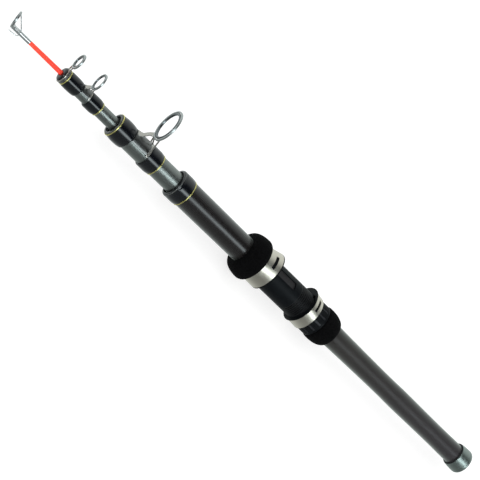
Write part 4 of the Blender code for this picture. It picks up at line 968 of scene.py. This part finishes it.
def foot_whipping(node, inner, wall, band, hoop, body):
    outer = inner + wall
    start = band + BAND_SPACE
    end = hoop - HOOP_GAP
    crown = beside(end, outer, [(0.0, -0.0004), (-0.0006, -0.0001), (-0.0016, 0.0)])
    crown += beside(start, outer, [(0.0050, 0.0), (0.0030, -0.00003), (0.0012, -0.0003)])
    crown.append((start, inner + 0.0004))
    profile = flow(crown, 4) + [(start, inner), (end, inner)]
    turned_piece(node, profile, body, WRAP_BLACK, "wrap_black")


def section_3():
    front = MOUTH_3 - LIP - FIT
    opening = 0.0078
    profile = [
        (front, SECTION_3_TIP),
        (SECTION_3_BACK + STOP_TAPERED, SECTION_3_REAR),
        (SECTION_3_BACK + STOP_LENGTH, SECTION_3_STOP),
        (SECTION_3_BACK, SECTION_3_STOP),
        (SECTION_3_BACK, SECTION_3_BORE),
        (COLLAR_3 - 0.003, SECTION_3_BORE),
        (COLLAR_3, SECTION_3_THROAT),
        (front - 0.003, SECTION_3_THROAT),
        (front, opening),
    ]
    turned_piece("section_3_blank", profile, "section_3", CARBON_GREY, "carbon_grey")
    inner = SECTION_3_BED
    outer = inner + 0.00145
    seat = outer - 0.0008 - FIT
    mouth = [(MOUTH_3 - LIP, opening), (MOUTH_3, opening, 0.0003), (MOUTH_3, seat - 0.0001, 0.0006)]
    mouth += [(BAND_3_MOUTH + BAND_SPACE, seat), (BAND_3_MOUTH - FIT, seat)]
    crown = beside(BAND_3_MOUTH, outer, [(-FIT, -0.00055), (-0.0030, -0.00030)])
    crown += beside(COLLAR_3, outer, [(0.0100, -0.00005), (0.0070, 0.0), (0.0040, -0.00015)])
    crown += beside(COLLAR_3, outer, [(0.0018, -0.00045), (0.0006, -0.00075), (0.0, -0.0012)])
    profile = eased(mouth, 0.0001, 4, False) + flow(crown, 4)
    profile += [(COLLAR_3, inner), (MOUTH_3 - LIP, inner)]
    wrap = turned_piece("section_3_mouth_wrap", profile, "section_3", WRAP_BLACK, "wrap_black")
    # Painted highlight: the mouth lip beyond the gold band takes the lighter ribbed finish.
    recolour(wrap, RIBS_PAINTED_HIGHLIGHT, lambda spot: spot.x > BAND_3_MOUTH and spot.yz.length > seat - 0.0004)
    gold_ring("section_3_mouth_band", outer - 0.0008, BAND_3_MOUTH, "section_3")
    foot_whipping("section_3_foot_wrap", inner, 0.00095, BAND_3_FOOT, HOOP_3, "section_3")
    gold_ring("section_3_foot_band", inner, BAND_3_FOOT, "section_3")


def section_2_radius(x):
    share = (SECTION_2_FRONT - x) / (SECTION_2_FRONT - TUBE_END - STOP_TAPERED)
    return SECTION_2_TIP + share * (SECTION_2_REAR - SECTION_2_TIP)


def section_2():
    profile = [
        (SECTION_2_FRONT, SECTION_2_TIP),
        (TUBE_END + STOP_TAPERED, SECTION_2_REAR),
        (TUBE_END + STOP_LENGTH, SECTION_2_STOP),
        (TUBE_END, SECTION_2_STOP),
        (TUBE_END, SECTION_2_BORE),
        (COLLAR_2 - 0.003, SECTION_2_BORE),
        (COLLAR_2, SECTION_2_THROAT),
        (SECTION_2_FRONT - 0.003, SECTION_2_THROAT),
        (SECTION_2_FRONT, 0.0029),
    ]
    turned_piece("section_2_blank", profile, "section_2", CARBON_GREY, "carbon_grey")
    inner = section_2_radius(COLLAR_2) + FIT
    outer = inner + 0.0012
    end = BAND_2_MOUTH - FIT
    crown = beside(end, outer, [(0.0, -0.0004), (-0.0008, -0.0001), (-0.0025, 0.0)])
    crown += beside(COLLAR_2, outer, [(0.0065, 0.0), (0.0030, -0.0002), (0.0012, -0.00045), (0.0, -0.0010)])
    profile = flow(crown, 4) + [(COLLAR_2, inner), (end, inner)]
    turned_piece("section_2_mouth_wrap", profile, "section_2", WRAP_BLACK, "wrap_black")
    gold_ring("section_2_mouth_band", inner, BAND_2_MOUTH, "section_2", 0.0010)
    start = BAND_2_MOUTH + BAND_SPACE
    end = HOOP_1 - HOOP_GAP
    top = outer - 0.0004
    profile = eased([(end, inner, 0), (end, top), (start, top), (start, inner, 0)], 0.0003)
    # The ribbed finish carries a painted highlight on its crowns.
    turned_piece("section_2_tip_wrap", profile, "section_2", RIBS_PAINTED_HIGHLIGHT, "wrap_black")
    bed = section_2_radius(BAND_2_FOOT) + FIT
    foot_whipping("section_2_foot_wrap", bed, 0.0010, BAND_2_FOOT, HOOP_2, "section_2")
    gold_ring("section_2_foot_band", bed, BAND_2_FOOT, "section_2")
    nose = [(NOSE_FRONT, SECTION_2_THROAT), (NOSE_FRONT, 0.0034), (NOSE_BACK + 0.0013, 0.0049)]
    nose += [(NOSE_BACK + 0.0007, 0.0058), (NOSE_BACK, 0.0062), (NOSE_BACK, SECTION_2_THROAT)]
    turned_piece("nose_piece", eased(nose, 0.0003), "section_2", WRAP_BLACK, "wrap_black")


class Guide:
    """One line guide: where it stands, its ring from the hole outwards, and the parts of its frame.

    Places in a guide count from the ring's station along the rod and from the rod's middle upwards.
    """

    def __init__(self, nodes, body, x, height, hole, insert, rim, turn=GUIDE_TURN, lean=0.0):
        self.nodes = nodes
        self.body = body
        self.x = x
        self.height = height
        self.hole = hole
        self.insert = insert
        self.inner = hole + 2 * insert + FIT
        self.outer = self.inner + rim
        self.middle = (self.inner + self.outer) / 2
        self.bottom = height - self.middle
        self.home = Matrix.Translation((x, 0.0, 0.0)) @ Matrix.Rotation(turn, 4, "X")
        self.ring = Matrix.Translation((0.0, 0.0, height)) @ Matrix.Rotation(lean, 4, "Y")
        self.parts = []
        self.add_rim()

    def add_rim(self):
        half = RIM_WIDTH / 2
        edge = min(self.outer - self.inner, half) * 0.5
        outline = [(half, self.inner, 0), (half, self.outer, edge)]
        outline += [(-half, self.outer, edge), (-half, self.inner, 0)]
        mesh = revolve("rim", eased(outline, edge, 4), ROUND)
        mesh.transform(self.ring)
        self.parts.append(mesh)

    def add_foot(self, bed, to_hoop, to_front, hoop_wire, hoop_width, corner):
        """A plate that runs under the whipping in front of it, and a hoop over its rear end."""
        plate = bed + GUIDE_PLATE
        band = arc_band(bed, plate, to_hoop + 0.0004, to_front, math.radians(61), corner)
        hoop = arc_band(bed + 0.0001, plate + hoop_wire, to_hoop, to_hoop + hoop_width, math.radians(66))
        self.parts += [band, hoop]

    def add_legs(self, ring_x, ring_degrees, foot_x, foot_radius, foot_degrees, thickness):
        """Two wires from the lower sides of the rim to the foot."""
        for side in (-1, 1):
            turn = side * math.radians(ring_degrees)
            top = (ring_x, self.middle * math.sin(turn), self.height - self.middle * math.cos(turn))
            foot = round_place(foot_x, foot_radius, side * math.radians(foot_degrees))
            self.parts.append(wire([top, foot], thickness))

    def fit(self, foot, grain, relax=6, straps=STRAP_STEEL):
        """Melts the frame into one piece, darker within the foot's radius, and adds the hard ring."""
        frame_node, ring_node = self.nodes
        mesh = fused(frame_node, self.parts, grain, relax)
        mesh.transform(self.home)
        obj = fit_piece("fine_" + frame_node, mesh, self.body, GUIDE_STEEL, "guide_steel", frame_node)
        to_ring = (self.home @ self.ring).inverted()

        def off_ring(spot):
            near = to_ring @ spot
            return near.yz.length > self.outer + 0.0003 or abs(near.x) > 0.0012

        recolour(obj, straps, off_ring)
        recolour(obj, FOOT_STEEL, lambda spot: off_ring(spot) and spot.yz.length < foot)
        profile = []
        for i in range(20):
            angle = 2 * math.pi * i / 20
            out = self.hole + self.insert * (1 + math.sin(angle))
            profile.append((self.insert * math.cos(angle), out))
        mesh = revolve(ring_node, profile, ROUND)
        mesh.transform(self.home @ self.ring)
        fit_piece("fine_" + ring_node, mesh, self.body, INSERT_GREY, "insert_grey", ring_node)


def big_guide():
    nodes = ("big_guide_frame", "big_guide_ring")
    guide = Guide(nodes, "section_3", HOOP_3 + 0.0080, 0.0326, 0.0109, 0.0011, 0.0014)
    bed = SECTION_3_BED
    hoop_wire = 0.0006
    to_front = COLLAR_3 - FIT - guide.x
    to_hoop = HOOP_3 - guide.x
    guide.add_foot(bed, to_hoop, to_front, hoop_wire, 0.0020, 0.0030)
    foot = bed + GUIDE_PLATE / 2 + 0.0003
    line = beside(to_front, foot, [(-0.0006, 0.0), (-0.0024, 0.0001), (-0.0036, 0.0006), (-0.0048, 0.0015)])
    line += beside(0.0, guide.bottom, [(0.0032, -0.0022), (0.0014, -0.0008), (0.0002, -0.0001)])
    widths = [0.0058, 0.0058, 0.0052, 0.0044, 0.0042, 0.0050, 0.0064]
    guide.parts.append(strap(line, GUIDE_STRAP, widths))
    hoop_middle = bed + (GUIDE_PLATE + hoop_wire) / 2
    rib = [(-0.0002, 0.0, guide.bottom - 0.0001), (to_hoop + 0.0018, 0.0, hoop_middle)]
    guide.parts.append(wire(rib, 0.00065))
    guide.add_legs(-0.0003, 58, to_hoop + 0.0006, hoop_middle, 60, 0.00066)
    guide.fit(bed + GUIDE_PLATE + 0.0002, 0.00019)


def middle_guide():
    nodes = ("middle_guide_frame", "middle_guide_ring")
    guide = Guide(nodes, "section_2", HOOP_2 + 0.0046, 0.0177, 0.00545, 0.0006, 0.0009)
    bed = section_2_radius(HOOP_2) + FIT
    hoop_wire = 0.0005
    to_front = COLLAR_2 - FIT - guide.x
    to_hoop = HOOP_2 - guide.x
    guide.add_foot(bed, to_hoop, to_front, hoop_wire, 0.0010, 0.0016)
    foot = bed + GUIDE_PLATE / 2 + 0.0003
    line = beside(to_front, foot, [(-0.0003, 0.0), (-0.0010, 0.0001), (-0.0017, 0.0006)])
    line.append((0.0002, guide.bottom - 0.0002))
    guide.parts.append(strap(line, GUIDE_STRAP, [0.0046, 0.0046, 0.0044, 0.0036]))
    guide.add_legs(-0.0003, 50, to_hoop + 0.0006, bed + (GUIDE_PLATE + hoop_wire) / 2, 45, 0.0005)
    guide.fit(bed + GUIDE_PLATE + 0.0002, 0.00015)


def front_guide():
    nodes = ("front_guide_frame", "front_guide_ring")
    guide = Guide(nodes, "section_2", HOOP_1 + 0.0012, 0.0179, 0.0040, 0.0007, 0.0013)
    to_hoop = HOOP_1 - guide.x
    half = 0.0006
    radius = section_2_radius(HOOP_1 - 0.001) + FIT + half
    offsets = [(half, -half, 0), (half, 0.0003), (0.0, half), (-half, 0.0003), (-half, -half, 0)]
    outline = beside(to_hoop, radius, offsets)
    guide.parts.append(revolve("hoop", eased(outline, 0.0003), MEDIUM_ROUND))
    guide.add_legs(0.0, 24, to_hoop, radius, 28, 0.00062)
    guide.fit(0.0, 0.00015)


def tip_section():
    front = FERRULE_FRONT - FERRULE_BLIND - FIT
    shoulder = FERRULE_BACK - FIT
    thin = TIP_END - FERRULE_WALL
    profile = [
        (front, 0.0),
        (front, thin),
        (shoulder, thin),
        (shoulder, TIP_END),
        (NOSE_FRONT, 0.0020),
        (TUBE_END + STOP_TAPERED, 0.0023),
        (TUBE_END + STOP_LENGTH, TIP_STOP),
        (TUBE_END, TIP_STOP),
        (TUBE_END, 0.0),
    ]
    turned_piece("tip_blank", profile, "tip", TIP_RED, "tip_red", MEDIUM_ROUND, False)
    tip_guide(thin + FIT)


def tip_guide(bore):
    """Ferrule, leaning ring, web, two braces and the hooked wire that keeps the line."""
    nodes = ("tip_top_frame", "tip_ring")
    x = FERRULE_FRONT + 0.0037
    guide = Guide(nodes, "tip", x, 0.0100, 0.0042, 0.0007, 0.0013, TIP_TURN, TIP_LEAN)
    end = FERRULE_FRONT - x
    start = FERRULE_BACK - x
    blind = end - FERRULE_BLIND
    tube = bore + FERRULE_WALL
    sleeve = tube - 0.00005
    outline = [(end, 0.0), (end, tube, 0.0005), (start + 0.0022, tube, 0.0003), (start + 0.0018, sleeve)]
    outline += [(start, sleeve, 0.00015), (start, bore, 0), (blind, bore, 0), (blind, 0.0)]
    guide.parts.append(revolve("ferrule", eased(outline, 0.0002, 3, False), MEDIUM_ROUND, False))
    bottom = guide.ring @ Vector((0.0, 0.0, -guide.middle))
    web = [(blind, tube * 0.4), (end - 0.0012, tube * 0.6), (bottom.x, bottom.z - 0.0002)]
    guide.parts.append(strap(web, tube * 0.8, [tube * 1.3, tube * 1.3, tube * 1.2]))
    foot_x = end - 0.0077
    for side in (-1, 1):
        top = guide.ring @ Vector(round_place(0.0, guide.middle, side * math.radians(62)))
        guide.parts.append(wire([top, (foot_x, side * tube * 0.65, tube * 0.80)], 0.00050))
    hook = [(-0.0011, -0.0006), (-0.0009, -0.0001), (-0.0002, 0.0002), (0.0074, 0.0008)]
    keeper = [(foot_x - 0.0008, tube - 0.0002), *beside(foot_x, 0.0033, hook)]
    places = [round_place(along, out, math.radians(130)) for along, out in keeper]
    guide.parts.append(wire(places, 0.00040))
    guide.fit(0.0, 0.00013, 4, TIP_STEEL)


def studio():
    """White floor, soft lamps, and surroundings that mirror as a strip lamp beside a dark card."""
    reach = 4.0
    corners = [(-1, -1), (1, -1), (1, 1), (-1, 1)]
    corners = [(ROD_MIDDLE + x * reach, y * reach, FLOOR_HEIGHT) for x, y in corners]
    floor = loose("studio_floor", mesh_from("studio_floor", corners, [[0, 1, 2, 3]]))
    paint = paint_for("floor_white")
    shader(paint, Base_Color=rgb(0.93, 0.93, 0.93), Roughness=0.9, Specular_IOR_Level=0.0)
    rays = paint.node("ShaderNodeLightPath", None, None, "Is Camera Ray")
    glow = paint.node("ShaderNodeEmission", None, {"Color": rgb(1.0, 1.0, 1.0), "Strength": 1.3})
    lit = Signal(paint, paint.tree.nodes["Principled BSDF"].outputs[0])
    blended = paint.node("ShaderNodeMixShader", None, {0: rays * 0.55, 1: lit, 2: glow})
    paint.feed(paint.tree.nodes["Material Output"], {"Surface": blended})
    floor.data.materials.append(paint.owner)
    floor.visible_glossy = False
    world = bpy.data.worlds.new("studio_world")
    bpy.context.scene.world = world
    sky = Paint(world)
    direction = sky.node("ShaderNodeTexCoord", None, None, "Generated")
    dot = {"operation": "DOT_PRODUCT"}
    toward = sky.node("ShaderNodeVectorMath", dot, {0: direction, 1: FACING}, 1)
    above = sky.node("ShaderNodeVectorMath", dot, {0: direction, 1: UPWARD}, 1)
    turn = toward.math("ARCTAN2", above, toward) / (2 * math.pi) + 0.5
    stops = [(-180, 1.0), (-130, 0.72), (-95, 0.38), (-60, 0.27), (-18, 0.24), (8, 0.22)]
    stops += [(15, 0.02), (48, 0.03), (59, 0.36), (76, 0.75), (102, 1.0), (140, 1.0)]
    ramp = [(0.5 + angle / 360, (grey * 0.93, grey, grey * 0.985)) for angle, grey in stops]
    around = sky.node("ShaderNodeValToRGB", {"stops": ramp}, {0: turn})
    aside = turn - (0.5 + STRIP_TURN / 360)
    gap = aside.math("ABSOLUTE", aside)
    strip = (1.8 - gap * (360 / STRIP_HALF)).clipped() * STRIP_GLOW
    tint = sky.mix(1.0, rgb(0.86, 0.97, 1.0), strip, "MULTIPLY")
    mirrored = sky.mix(1.0, around, tint, "ADD")
    glossy = sky.node("ShaderNodeLightPath", None, None, "Is Glossy Ray")
    camera = sky.node("ShaderNodeLightPath", None, None, "Is Camera Ray")
    lit = sky.mix(glossy, rgb(0.92, 0.92, 0.92), mirrored)
    seen = sky.mix(camera, lit, rgb(1.0, 1.0, 1.0))
    sky.feed(sky.tree.nodes["Background"], {"Color": seen, "Strength": 1.0})
    soft_lamp("low_lamp", -48.0, 1.6, 1.8, 1.2, 9.0)
    soft_lamp("high_lamp", 62.0, 1.6, 1.8, 1.0, 5.0)


def soft_lamp(name, turn, distance, length, width, power):
    """A lamp laid along the rod, turned round it from the camera's side towards the guides."""
    angle = math.radians(turn)
    outward = FACING * math.cos(angle) + UPWARD * math.sin(angle)
    data = bpy.data.lights.new(name, "AREA")
    data.shape = "RECTANGLE"
    data.size = length
    data.size_y = width
    data.energy = power
    lamp = loose(name, data)
    across = outward.cross(ALONG)
    turned = Matrix((ALONG, across, outward)).transposed().to_4x4()
    lamp.matrix_world = Matrix.Translation(ALONG * ROD_MIDDLE + outward * distance) @ turned
    lamp.visible_glossy = False


def camera():
    data = bpy.data.cameras.new("camera")
    data.lens = VIEW_LENS
    data.sensor_width = 36.0
    made = loose("camera", data)
    back = FACING * math.cos(VIEW_TILT) + ALONG * math.sin(VIEW_TILT)
    sideways = ALONG * math.cos(VIEW_TILT) - FACING * math.sin(VIEW_TILT)
    right = UPWARD * math.sin(VIEW_ROLL) - sideways * math.cos(VIEW_ROLL)
    top = sideways * math.sin(VIEW_ROLL) + UPWARD * math.cos(VIEW_ROLL)
    spot = ALONG * AIM_ALONG + UPWARD * AIM_UP + back * VIEW_DISTANCE
    turned = Matrix((right, top, back)).transposed().to_4x4()
    made.matrix_world = Matrix.Translation(spot) @ turned
    bpy.context.scene.camera = made


camera()
cap_and_seal()
handle_and_grips()
reel_seat()
lock_nut()
hoods()
for lining in ("moving_hood_liner", "fixed_hood_liner"):
    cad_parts[lining].data.materials.clear()
    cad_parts[lining].data.materials.append(NUT_BLACK)
butt_section()
section_3()
section_2()
big_guide()
middle_guide()
front_guide()
tip_section()
studio()

bpy.context.scene.view_settings.view_transform = "Standard"
bpy.context.view_layer.update()
